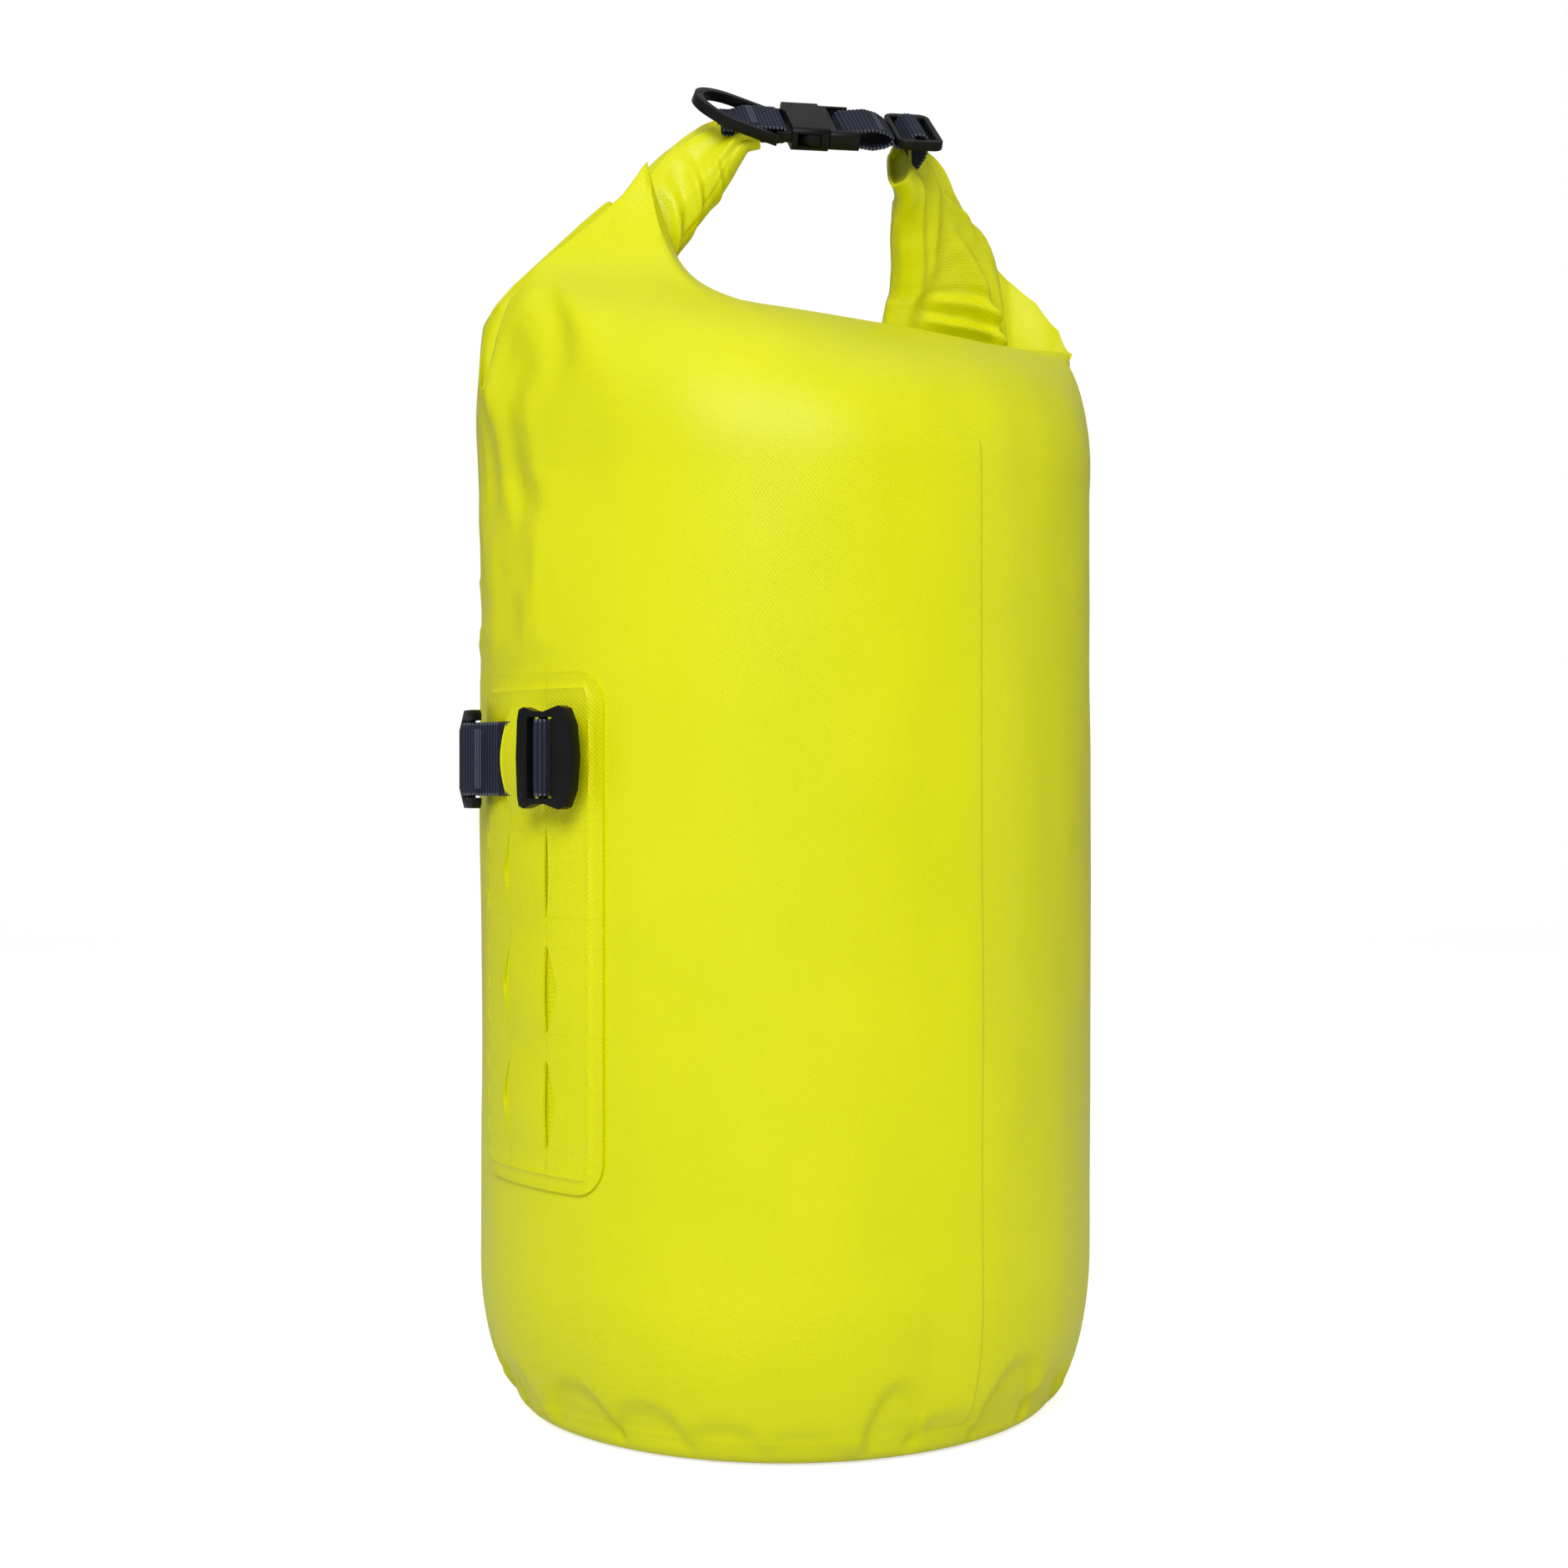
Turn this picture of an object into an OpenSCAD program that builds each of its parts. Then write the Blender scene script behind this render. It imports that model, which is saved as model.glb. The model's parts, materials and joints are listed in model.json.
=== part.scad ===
/* [Body] */

// Outside radius of the filled bag
body_r = 110; // [92:1:132]

// Height of the front fold above the ground
fold_h = 388; // [325:1:466]

// Height of the shoulder's start above the ground
shoulder_h = 322; // [280:1:330]

// Thickness of the coated fabric
fabric_t = 1; // [0.8:0.1:1.4]

// Radius of the flat part of the base
base_r = 90; // [75:1:91]

/* [Rolled mouth] */

// Half length of the rolled strip between its bends
roll_half = 78; // [66:1:88]

// Half height of the rolled strip
roll_half_h = 17; // [14:0.5:19]

// Half thickness of the rolled strip
roll_half_t = 7; // [5:0.5:8]

// Rise of the buckle above the front fold
handle_rise = 70; // [62:1:84]

// Turn of the buckle seen from above, in degrees
handle_turn = -20; // [-26:1:-14]

// Lean of the buckle towards the front, in degrees
handle_tilt = 34; // [26:1:40]

/* [Webbing] */

// Width of the webbing
web_w = 25; // [20:0.5:26]

// Thickness of the webbing
web_t = 1.35; // [1.1:0.05:1.4]

/* [Buckle] */

// Thickness of the buckle's socket
socket_t = 8.4; // [8:0.2:10]

// Travel of the plug out of the socket
plug_travel = 12; // [10:0.5:12]

// Radius of the bars that carry webbing
bar_r = 1.6; // [1.4:0.05:1.65]

/* [Rings] */

// Length of the hanging ring
ring_len = 30; // [24:1:34]

// Thickness of the hanging ring's rim
ring_t = 3.6; // [3:0.2:4]

/* [Lash panel] */

// Height of the lash panel
panel_h = 170; // [160:1:190]

// Half width of the lash panel, in degrees round the bag
panel_half_a = 18.5; // [17:0.5:21]

// Height of the lash panel's middle above the ground
panel_z = 170.5; // [150:1:180]

// Turn of the lash panel from the left side, in degrees
panel_turn = 9.5; // [0:0.5:14]

// Distance between two rows of slots
row_pitch = 38; // [36:0.5:40]

// Length of one slot
slot_len = 28.5; // [27:0.5:30]

/* [Hidden] */

fabric_colour = "#d4dd00";
weld_colour = "#c6cf00";
tape_colour = "#b9bf5a";
webbing_colour = "#23283f";
thread_colour = "#4a4f68";
plastic_colour = "#1d1d1c";

// gap between faces that only touch
skin = 0.05;
// radial gap of a bar inside webbing
bar_gap = 0.25;
round_fn = 64;
wall_fn = 180;

// ---- outer form of the body ----
taper_h = 52;
body_profile = [
    [base_r, 0], [base_r + 0.27 * (body_r - base_r), 2.5], [base_r + 0.58 * (body_r - base_r), 9],
    [base_r + 0.81 * (body_r - base_r), 20], [base_r + 0.95 * (body_r - base_r), 35],
    [body_r, taper_h], [body_r, shoulder_h]
];

// The same profile moved inwards by d, starting at height z
function inset_profile(d, z) = [for (p = body_profile) [p[0] - d, max(p[1], z)]];

// ---- shoulders: rings of points from the round body to the flat fold ----
segs = 72;
steps = 9;
// gap between the shoulders and the rolled mouth
room_gap = 0.15;
left_corner = [-1.09 * body_r, fold_h - 22];
right_corner = [1.14 * body_r, fold_h - 4];
peak_x = -0.53 * body_r;
peak_z = fold_h + 0.64 * handle_rise;
dip_x = -0.27 * body_r;
front_y = -4;
back_y = 22;
back_z = fold_h - 36;

// Height of the front fold at x
function fold_z(x) = lookup(x, [
    [left_corner[0], left_corner[1]], [-0.95 * body_r, fold_h + 3], [peak_x, peak_z],
    [0.8 * peak_x, fold_h + 0.38 * handle_rise], [dip_x, fold_h + 6], [-0.1 * body_r, fold_h],
    [0.9 * body_r, fold_h], [right_corner[0], right_corner[1]]
]);

// Height of the back edge at x
function back_edge_z(x) = let (
    end = x < 0 ? left_corner : right_corner,
    share = pow(abs(x / end[0]), 5)
) back_z + (end[1] - back_z) * share;

// The end point of the shoulder at angle a, with the fabric's inside moved in by d
function fold_point(a, d) = let (
    end = cos(a) < 0 ? -left_corner[0] : right_corner[0],
    x = cos(a) * (end - 2 * d),
    side = min(1, 2.2 * abs(sin(a))),
    mid_y = 4,
    y = sin(a) < 0 ? mid_y - (mid_y - front_y - d) * side : mid_y + (back_y - mid_y - d) * side,
    z = (sin(a) < 0 ? fold_z(x) : back_edge_z(x)) - 1.6 * d
) [x, y, z];

function shoulder_point(a, t, d) = let (
    low_r = body_r - 0.1 - 0.7 * d,
    low = [low_r * cos(a), low_r * sin(a), shoulder_h - 1],
    high = fold_point(a, d),
    across = 1 - pow(cos(90 * t), 1.15),
    up = pow(sin(90 * t), 0.95)
) [low[0] + (high[0] - low[0]) * across, low[1] + (high[1] - low[1]) * across,
   low[2] + (high[2] - low[2]) * up];

function shoulder_rings(d) = [for (k = [0 : steps]) for (i = [0 : segs - 1])
    shoulder_point(360 * (i + 0.5) / segs, k / steps, d)];

module shoulder_shell() {
    n = (steps + 1) * segs;
    half = segs / 2;
    points = concat(shoulder_rings(0), shoulder_rings(fabric_t));
    outer = [for (k = [0 : steps - 1]) for (i = [0 : segs - 1]) let (
        a = k * segs + i, b = k * segs + (i + 1) % segs) each [[a, a + segs, b], [b, a + segs, b + segs]]];
    inner = [for (f = outer) [f[2] + n, f[1] + n, f[0] + n]];
    rim = [for (i = [0 : segs - 1]) let (j = (i + 1) % segs) each [[i, j, i + n], [j, j + n, i + n]]];
    top = steps * segs;
    lid = [for (i = [0 : half - 2]) let (
        a = top + i, b = top + i + 1, c = top + segs - 1 - i, e = top + segs - 2 - i)
        each [[a, c, b], [b, c, e]]];
    lining = [for (f = lid) [f[2] + n, f[1] + n, f[0] + n]];
    polyhedron(points = points, faces = concat(outer, inner, rim, lid, lining), convexity = 8);
}

// the space under the shoulders, a little grown, that the rolled mouth stays out of
module shoulder_room() {
    n = steps * segs;
    half = segs / 2;
    side = [for (k = [0 : steps - 1]) for (i = [0 : segs - 1]) let (
        a = k * segs + i, b = k * segs + (i + 1) % segs) each [[a, a + segs, b], [b, a + segs, b + segs]]];
    lid = [for (i = [0 : half - 2]) let (
        a = n + i, b = n + i + 1, c = n + segs - 1 - i, e = n + segs - 2 - i) each [[a, c, b], [b, c, e]]];
    floor_ring = [[for (i = [0 : segs - 1]) i]];
    polyhedron(points = shoulder_rings(-room_gap), faces = concat(side, lid, floor_ring), convexity = 8);
}

module body_wall() {
    color(fabric_colour) {
        rotate_extrude($fn = wall_fn)
            polygon(concat(body_profile, [for (k = [len(body_profile) - 1 : -1 : 0])
                inset_profile(fabric_t, 0)[k]]));
        shoulder_shell();
    }
}

// ---- base ----
rim_h = 16;

module base_panel() {
    color(fabric_colour)
    rotate_extrude($fn = wall_fn)
        polygon([
            [0, 0], [base_r - fabric_t - 2, 0], [base_r - fabric_t - skin, 0.6],
            [body_profile[1][0] - fabric_t - skin, 2.5], [body_profile[2][0] - fabric_t - skin, 9],
            [body_profile[2][0] - fabric_t - skin + 2, 14], [body_profile[2][0] - fabric_t - skin + 1.2, 14],
            [body_profile[2][0] - 2 * fabric_t, 9.4], [body_profile[1][0] - 2 * fabric_t, 3.3],
            [base_r - 2 * fabric_t - 2, 1.2], [0, 1.2]
        ]);
}

module base_seam_tape() {
    color(tape_colour)
    rotate_extrude($fn = wall_fn)
        polygon([
            [body_profile[3][0] - fabric_t - skin - 1.6, 17], [body_profile[3][0] - fabric_t - skin, 20.4],
            [body_profile[4][0] - fabric_t - skin, 35], [body_profile[4][0] - fabric_t - skin - 0.6, 35],
            [body_profile[3][0] - fabric_t - skin - 0.7, 20.4], [body_profile[3][0] - fabric_t - skin - 2.3, 17]
        ]);
}

// ---- upright weld on the front ----
weld_half_a = 5.6;
weld_t = 0.6;

module side_weld() {
    color(weld_colour)
    rotate([0, 0, -90 - weld_half_a])
    rotate_extrude(angle = 2 * weld_half_a, $fn = wall_fn)
        translate([body_r + skin, taper_h + 1])
        square([weld_t, shoulder_h - taper_h - 2]);
}

module inner_seam_tape() {
    color(tape_colour)
    rotate([0, 0, -90 - weld_half_a])
    rotate_extrude(angle = 2 * weld_half_a, $fn = wall_fn)
        translate([body_r - fabric_t - skin - weld_t, taper_h + 1])
        square([weld_t, shoulder_h - taper_h - 2]);
}

// ---- handle frame: x along the buckle, y across the webbing, z out of its top ----
handle_at = [8, -5, fold_h + handle_rise];

function turned(v) = [v[0] * cos(handle_turn) - v[1] * sin(handle_turn),
                      v[0] * sin(handle_turn) + v[1] * cos(handle_turn), v[2]];
function tilted(v) = [v[0], v[1] * cos(handle_tilt) - v[2] * sin(handle_tilt),
                      v[1] * sin(handle_tilt) + v[2] * cos(handle_tilt)];
function from_handle(v) = handle_at + turned(tilted(v));
function dir_handle(v) = turned(tilted(v));

module at_handle() {
    translate(handle_at)
    rotate([0, 0, handle_turn])
    rotate([handle_tilt, 0, 0])
    children();
}

// ---- rolled mouth ----
loop_segs = 28;
left_tip = [-33, 0, -3.4];
right_tip = [34.5, 0, -12.5];

function unit(v) = v / norm(v);

// One place along a rolled end: its centre, the direction across it and both half sizes.
// The section stands square to the line through the places next to it.
function section(path, k) = let (
    n = len(path) - 1,
    along = unit(path[min(k + 1, n)][0] - path[max(k - 1, 0)][0]),
    through = unit(cross(along, path[k][1])),
    across = cross(through, along)
) [for (i = [0 : loop_segs - 1]) let (
    a = 360 * i / loop_segs,
    cw = sign(cos(a)) * pow(abs(cos(a)), 0.8),
    ct = sign(sin(a)) * pow(abs(sin(a)), 0.8)
) path[k][0] + path[k][2] * cw * across + path[k][3] * ct * through];

module sweep(path) {
    last = len(path) - 1;
    n = loop_segs;
    points = concat([for (k = [0 : last]) each section(path, k)], [path[0][0], path[last][0]]);
    side = [for (k = [0 : last - 1]) for (i = [0 : n - 1]) let (
        a = k * n + i, b = k * n + (i + 1) % n) each [[a, a + n, b], [b, a + n, b + n]]];
    low_end = [for (i = [0 : n - 1]) [i, (i + 1) % n, n * (last + 1)]];
    high_end = [for (i = [0 : n - 1]) [last * n + (i + 1) % n, last * n + i, n * (last + 1) + 1]];
    polyhedron(points = points, faces = concat(side, low_end, high_end), convexity = 6);
}

roll_c = [0, 16.2, fold_h - 13.6];
roll_lean = 35.8;

module roll_middle() {
    translate(roll_c)
    rotate([roll_lean, 0, 0])
    rotate([0, 90, 0])
    linear_extrude(height = 2 * roll_half, center = true)
    union() {
        for (s = [-1, 1])
            translate([s * (roll_half_h - roll_half_t), 0]) circle(r = roll_half_t, $fn = round_fn);
        square([2 * (roll_half_h - roll_half_t), 2 * roll_half_t], center = true);
    }
}

module left_arm() {
    k = handle_rise / 70;
    tip = from_handle(left_tip);
    across = dir_handle([0, 1, 0]);
    along = dir_handle([1, 0, 0.12]);
    sweep([
        [[-0.74 * body_r, 20, fold_h - 17], [-0.6, -0.1, 0.8], 12, 7],
        [[-0.70 * body_r, 21, fold_h - 4], [-0.8, -0.1, 0.6], 16, 8],
        [[-0.62 * body_r, 20, fold_h + 14 * k], [-0.75, 0.1, 0.65], 16, 8.5],
        [[-0.50 * body_r, 16, fold_h + 33 * k], [-0.6, 0.35, 0.7], 14, 8.5],
        [tip - 12 * along - [2, -1, 4], [-0.1, 0.7, 0.7], 13.5, 7.5],
        [tip, across, 13.8, 5.2],
        [tip + 8 * along, across, 13.8, 4.4]
    ]);
}

module right_arm() {
    k = handle_rise / 70;
    tip = from_handle(right_tip);
    sweep([
        [[0.76 * body_r, 15, fold_h - 17], [1, 0, 0.15], 31, 7],
        [[0.73 * body_r, 13, fold_h + 6 * k], [1, 0, 0.1], 27, 8.5],
        [[0.62 * body_r, 5, fold_h + 26 * k], [1, 0.15, 0.25], 18, 9],
        [tip - [-7, 1, 13], [0.85, 0.5, 0.35], 14.5, 7.5],
        [tip - [-2, 0, 4], [0.65, 0.7, 0.45], 13.8, 6],
        [tip + [-2, 0, 2], [0.5, 0.75, 0.5], 13.8, 5]
    ]);
}

module rolled_mouth() {
    color(fabric_colour)
    difference() {
        union() {
            roll_middle();
            left_arm();
            right_arm();
        }
        stiffener_shape(skin);
        shoulder_room();
        at_handle() web_extrude(web_w + 0.2) left_tab_shape();
        at_handle() web_extrude(web_w + 0.2) right_tab_shape();
    }
}

// ---- stiffening strip inside the roll ----
module stiffener_shape(grow) {
    translate(roll_c)
    rotate([roll_lean, 0, 0])
    cube([2 * roll_half - 16 + 2 * grow, 1 + 2 * grow, 2 * roll_half_h - 10 + 2 * grow], center = true);
}

module mouth_stiffener() {
    color(tape_colour)
    difference() {
        stiffener_shape(0);
        shoulder_room();
    }
}

// ---- webbing loops seen from the side ----
module stadium(x0, x1, r) {
    translate([x0, 0]) circle(r = r, $fn = round_fn);
    translate([x1, 0]) circle(r = r, $fn = round_fn);
    translate([x0, -r]) square([x1 - x0, 2 * r]);
}

module web_extrude(w) {
    rotate([90, 0, 0])
    linear_extrude(height = w, center = true)
    children();
}

loop_r = bar_r + bar_gap;

module loop_shape(x0, x1) {
    difference() {
        stadium(x0, x1, loop_r + web_t);
        stadium(x0, x1, loop_r);
    }
}

// ---- left side of the handle ----
socket_bar_x = -12.9;
ring_bar_x = -16.6;
left_loop_x = -24;
tail_len = 7;

module left_tab_shape() {
    loop_shape(left_loop_x, socket_bar_x);
    translate([left_loop_x - loop_r - web_t - tail_len, -web_t])
        square([tail_len + 0.6, 2 * web_t]);
}

module left_tab_webbing() {
    color(webbing_colour) at_handle() web_extrude(web_w) left_tab_shape();
}

// rows of thread that hold a folded end
module bartack(x, z) {
    for (k = [-1 : 1])
        translate([x + 0.9 * k, 0, z]) cube([0.5, web_w - 5, 0.3], center = true);
}

module left_tab_stitching() {
    color(thread_colour) at_handle()
        bartack(left_loop_x + 1.6, loop_r + web_t + 0.2);
}

ring_pitch = 17;
ring_half_w = 17.6;
ring_rim = 3.3;
ring_gap_w = ring_half_w - ring_rim;

// the ring's rounded plate, its edge moved out by grow
module ring_plate(grow, h) {
    d = ring_len - ring_half_w - bar_r;
    w = ring_half_w + grow;
    translate([-d, 0, 0]) cylinder(r = w, h = h, center = true, $fn = 2 * round_fn);
    translate([-d, -w, -h / 2]) cube([d + ring_half_w, 2 * w, h]);
}

module hanging_ring() {
    color(plastic_colour) at_handle()
    translate([ring_bar_x, 0, 0])
    rotate([0, ring_pitch, 0])
    union() {
        difference() {
            ring_plate(0, ring_t);
            ring_plate(-ring_rim, 2 * ring_t);
            translate([bar_r + 0.3, -ring_half_w - 1, -ring_t])
                cube([ring_half_w, 2 * ring_half_w + 2, 2 * ring_t]);
        }
        rotate([90, 0, 0]) cylinder(r = bar_r, h = 2 * ring_gap_w + 2, center = true, $fn = round_fn);
    }
}

// ---- buckle ----
socket_x0 = -9.4;
socket_x1 = 4;
socket_half_w = 16.4;
mouth_half_w = 14.3;
mouth_half_h = 2.6;
window_x0 = -7.4;
window_x1 = 1.2;
window_half_h = 2.3;
frame_x0 = 4.4;
plug_bar_x = 12.6;
prong_half_h = 2;
pivot_x = 7.2;
pivot_y = 12.4;
prong_tip_x = -7;
// running gap round the root of a springy arm
prong_fit = 0.08;

module rounded_bar(x0, x1, half_w, half_h, r) {
    rotate([0, 90, 0])
    translate([0, 0, x0])
    linear_extrude(height = x1 - x0)
    union() {
        for (sx = [-1, 1]) for (sy = [-1, 1])
            translate([sx * (half_h - r), sy * (half_w - r)]) circle(r = r, $fn = 32);
        square([2 * half_h, 2 * (half_w - r)], center = true);
        square([2 * (half_h - r), 2 * half_w], center = true);
    }
}

module buckle_socket() {
    half_t = socket_t / 2;
    color(plastic_colour) at_handle()
    union() {
        difference() {
            rounded_bar(socket_x0, socket_x1, socket_half_w, half_t, 2.4);
            translate([window_x0 - 0.6, -mouth_half_w, -mouth_half_h])
                cube([socket_x1 - window_x0 + 2, 2 * mouth_half_w, 2 * mouth_half_h]);
            translate([window_x0, -socket_half_w - 2, -window_half_h])
                cube([window_x1 - window_x0, 2 * socket_half_w + 4, 2 * window_half_h]);
        }
        for (s = [-1, 1])
            translate([socket_bar_x - bar_r - 0.2, s * (ring_gap_w - 0.9) - 0.65, -bar_r - 0.2])
                cube([socket_x0 - socket_bar_x + bar_r + 1.2, 1.3, 2 * bar_r + 0.4]);
        translate([socket_bar_x, 0, 0])
            rotate([90, 0, 0]) cylinder(r = bar_r, h = 2 * ring_gap_w - 1.4, center = true, $fn = round_fn);
    }
}

module buckle_plug() {
    color(plastic_colour) at_handle()
    union() {
        difference() {
            rounded_bar(frame_x0, plug_bar_x + 2.6, socket_half_w, 3.4, 2);
            translate([frame_x0 + 2.6, -web_w / 2 - 0.8, -6])
                cube([30, web_w + 1.6, 12]);
            for (s = [-1, 1])
                translate([pivot_x, s * pivot_y, 0])
                    cylinder(r = 1.6 + prong_fit, h = 2 * (prong_half_h + prong_fit), center = true, $fn = 32);
            for (s = [-1, 1])
                translate([frame_x0 - 1, s * (pivot_y - 0.6) - 2.2, -prong_half_h - prong_fit])
                    cube([pivot_x - frame_x0 + 1, 4.4, 2 * (prong_half_h + prong_fit)]);
        }
        translate([plug_bar_x, 0, 0])
            rotate([90, 0, 0]) cylinder(r = bar_r, h = web_w + 3, center = true, $fn = round_fn);
        translate([prong_tip_x + 2, -3.2, -1.6]) cube([frame_x0 - prong_tip_x, 6.4, 3.2]);
    }
}

// one springy arm of the plug, on the far side of the webbing
module prong() {
    translate([0, 0, -prong_half_h])
    linear_extrude(height = 2 * prong_half_h)
    union() {
        translate([pivot_x, pivot_y]) circle(r = 1.6, $fn = 32);
        polygon([
            [pivot_x, pivot_y - 1.5], [pivot_x, pivot_y + 1.3],
            [window_x1 - 0.4, pivot_y + 1.2], [window_x1 - 0.4, socket_half_w + 0.3],
            [-3, socket_half_w + 0.4], [window_x0 + 1, pivot_y + 1.6],
            [prong_tip_x, pivot_y - 0.4], [prong_tip_x + 0.6, pivot_y - 1.4]
        ]);
    }
}

module near_prong() {
    color(plastic_colour) at_handle() mirror([0, 1, 0]) prong();
}

module far_prong() {
    color(plastic_colour) at_handle() prong();
}

// ---- right side of the handle ----
right_loop_x = plug_bar_x + plug_travel + 0.6;
slider_x0 = right_loop_x + 4.2;
slider_len = 17;
slider_half_w = 16.6;
slot_w = 5;
slider_bar_x = slider_x0 + slider_len / 2;

module right_tab_shape() {
    loop_shape(plug_bar_x, right_loop_x);
    loop_end = right_loop_x + loop_r + web_t;
    translate([loop_end - 0.6, -web_t / 2]) square([slider_bar_x - 10.1 - loop_end + 0.6, web_t]);
    translate([slider_bar_x, 0])
        polygon([
            [-10.3, -0.7], [-9.4, -3.35], [-5, -3.35], [-1.75, 1.95], [1.7, 1.95], [3, -2.6], [0, -9],
            [1.4, -9.2], [4.6, -2.6], [2.4, 3.35], [-2.6, 3.35], [-5.9, -2], [-8.8, -2], [-10.3, 0.7]
        ]);
}

module right_tab_webbing() {
    color(webbing_colour) at_handle() web_extrude(web_w) right_tab_shape();
}

module right_tab_stitching() {
    color(thread_colour) at_handle()
        bartack(right_loop_x - 1.6, loop_r + web_t + 0.2);
}

module strap_slider() {
    color(plastic_colour) at_handle()
    difference() {
        translate([0, 0, -1.7]) linear_extrude(height = 3.4)
            union() {
                translate([slider_x0, -slider_half_w + 4]) square([slider_len, 2 * slider_half_w - 8]);
                translate([slider_x0 + 4, -slider_half_w]) square([slider_len - 8, 2 * slider_half_w]);
                for (sx = [slider_x0 + 4, slider_x0 + slider_len - 4]) for (sy = [-1, 1])
                    translate([sx, sy * (slider_half_w - 4)]) circle(r = 4, $fn = round_fn);
            }
        for (s = [-1, 1])
            translate([slider_bar_x + s * 4 - slot_w / 2, -web_w / 2 - 0.7, -4]) cube([slot_w, web_w + 1.4, 8]);
    }
}

// ---- lash panel: the left side is -x, turned a little to the front ----
module on_side() {
    rotate([0, 0, panel_turn]) children();
}

panel_r = body_r + skin;
panel_t = 1;
corner_r = 12;
panel_half_w = panel_half_a * PI / 180 * (body_r + 1);
strip_half_w = 10.65;
dome_r = 48;
dome_rise = 5;
lens_w = 5.5;
margin_w = 4.8;
// opening that the lash strap's webbing passes through
strap_slot_w = 2.8;
rows = [for (k = [-1.5 : 1 : 1.5]) panel_z + k * row_pitch];
top_row = rows[3];

// A layer of the panel between two radii, its edge moved in by d, with round corners.
// Each corner's cylinder is a little over size, so that it crosses the straight edges.
module panel_layer(r0, r1, d) {
    half_a = panel_half_a - d / (body_r + 1) * 180 / PI;
    low = panel_z - panel_h / 2 + d;
    high = panel_z + panel_h / 2 - d;
    half_w = (body_r + 1) * sin(half_a);
    r = corner_r - d;
    difference() {
        rotate([0, 0, 180 - half_a])
            rotate_extrude(angle = 2 * half_a, $fn = wall_fn)
            translate([r0, low])
            square([r1 - r0, high - low]);
        for (s = [-1, 1]) for (top = [false, true])
            difference() {
                translate([-body_r - 20, s > 0 ? half_w - r : -half_w - 5, top ? high - r : low - 5])
                    cube([60, r + 5, r + 5]);
                translate([-body_r - 30, s * (half_w - r), top ? high - r : low + r])
                    rotate([0, 90, 0]) cylinder(r = 1.02 * r, h = 80, $fn = round_fn);
            }
    }
}

module dome_cut(z, d, half_w) {
    intersection() {
        translate([-(body_r + skin + panel_t + dome_rise - dome_r), 0, z]) sphere(r = dome_r - d, $fn = 128);
        translate([-body_r - 30, -half_w, z - slot_len / 2 - 6 + 3 * d])
            cube([60, 2 * half_w, slot_len + 12 - 6 * d]);
    }
}

// the gape of one slot, widest at its middle
module lens(s, z) {
    lens_r = (pow(slot_len / 2, 2) + lens_w * lens_w) / (2 * lens_w);
    intersection() {
        translate([-body_r - 30, s > 0 ? strip_half_w : -strip_half_w - lens_w, z - slot_len / 2])
            cube([60, lens_w, slot_len]);
        translate([-body_r - 40, s * (strip_half_w + lens_w - lens_r), z])
            rotate([0, 90, 0]) cylinder(r = lens_r, h = 80, $fn = 2 * round_fn);
    }
}

module lash_panel() {
    color(weld_colour) on_side()
    difference() {
        union() {
            panel_layer(panel_r + 0.4, panel_r + panel_t, margin_w);
            panel_layer(panel_r, panel_r + 0.5, 0);
            difference() {
                for (z = rows) dome_cut(z, 0, strip_half_w - skin);
                cylinder(r = panel_r + 0.2, h = panel_z + panel_h, $fn = wall_fn);
            }
        }
        for (z = rows) dome_cut(z, panel_t, strip_half_w + 0.4);
        for (z = rows) for (s = [-1, 1]) lens(s, z);
        for (y = [strip_half_w, -strip_half_w - strap_slot_w])
            translate([-body_r - 30, y, top_row - web_w / 2 - 0.6]) cube([60, strap_slot_w, web_w + 1.2]);
    }
}

// ---- lash strap, drawn from above in the plane of the top row ----
lock_arc = 17.4;
lock_r = body_r + 8.2;
hoop_arc = -33;
hoop_r = body_r + 6.8;
// where the webbing leaves from under the strip
strap_out = 11.3;

// a point at arc length s round the bag and distance r from its axis; s grows towards the front
function around(s, r) = let (a = s / (body_r + 1) * 180 / PI) [-r * cos(a), -r * sin(a)];

module strap_loop(s_bar, r_bar, s_slit) {
    slit = around(s_slit, body_r + 1.95);
    difference() {
        hull() {
            translate(around(s_bar, r_bar)) circle(r = loop_r + web_t, $fn = round_fn);
            translate(slit) circle(r = web_t / 2, $fn = 24);
        }
        hull() {
            translate(around(s_bar, r_bar)) circle(r = loop_r, $fn = round_fn);
            translate(around(s_bar + (s_slit - s_bar) * 0.62, r_bar + (body_r + 1 - r_bar) * 0.5))
                circle(r = 0.3, $fn = 24);
        }
    }
}

module lash_webbing() {
    color(webbing_colour) on_side()
    translate([0, 0, top_row - web_w / 2])
    linear_extrude(height = web_w)
    difference() {
        union() {
            strap_loop(lock_arc, lock_r, strap_out);
            strap_loop(hoop_arc, hoop_r, -strap_out);
            intersection() {
                difference() {
                    circle(r = body_r + 0.25 + web_t, $fn = wall_fn);
                    circle(r = body_r + 0.25, $fn = wall_fn);
                }
                polygon([[0, 0], around(-12, 2 * body_r), [-2 * body_r, 0], around(12, 2 * body_r)]);
            }
        }
        circle(r = body_r + 0.25, $fn = wall_fn);
    }
}

module lash_stitching() {
    color(thread_colour) on_side()
    translate([0, 0, top_row - 10])
    for (s = [-22.4, -21.4, -20.4])
        translate(concat(around(s, body_r + 8.6 + (s + 22.4) * -0.42), 0)) cylinder(r = 0.3, h = 20, $fn = 16);
}

// puts a frame's bar at the origin, with x outwards from the bag and y to the front
module at_bar(s, r) {
    on_side()
    rotate([0, 0, s / (body_r + 1) * 180 / PI])
    translate([-r, 0, top_row])
    rotate([0, 0, 180])
    children();
}

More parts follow.
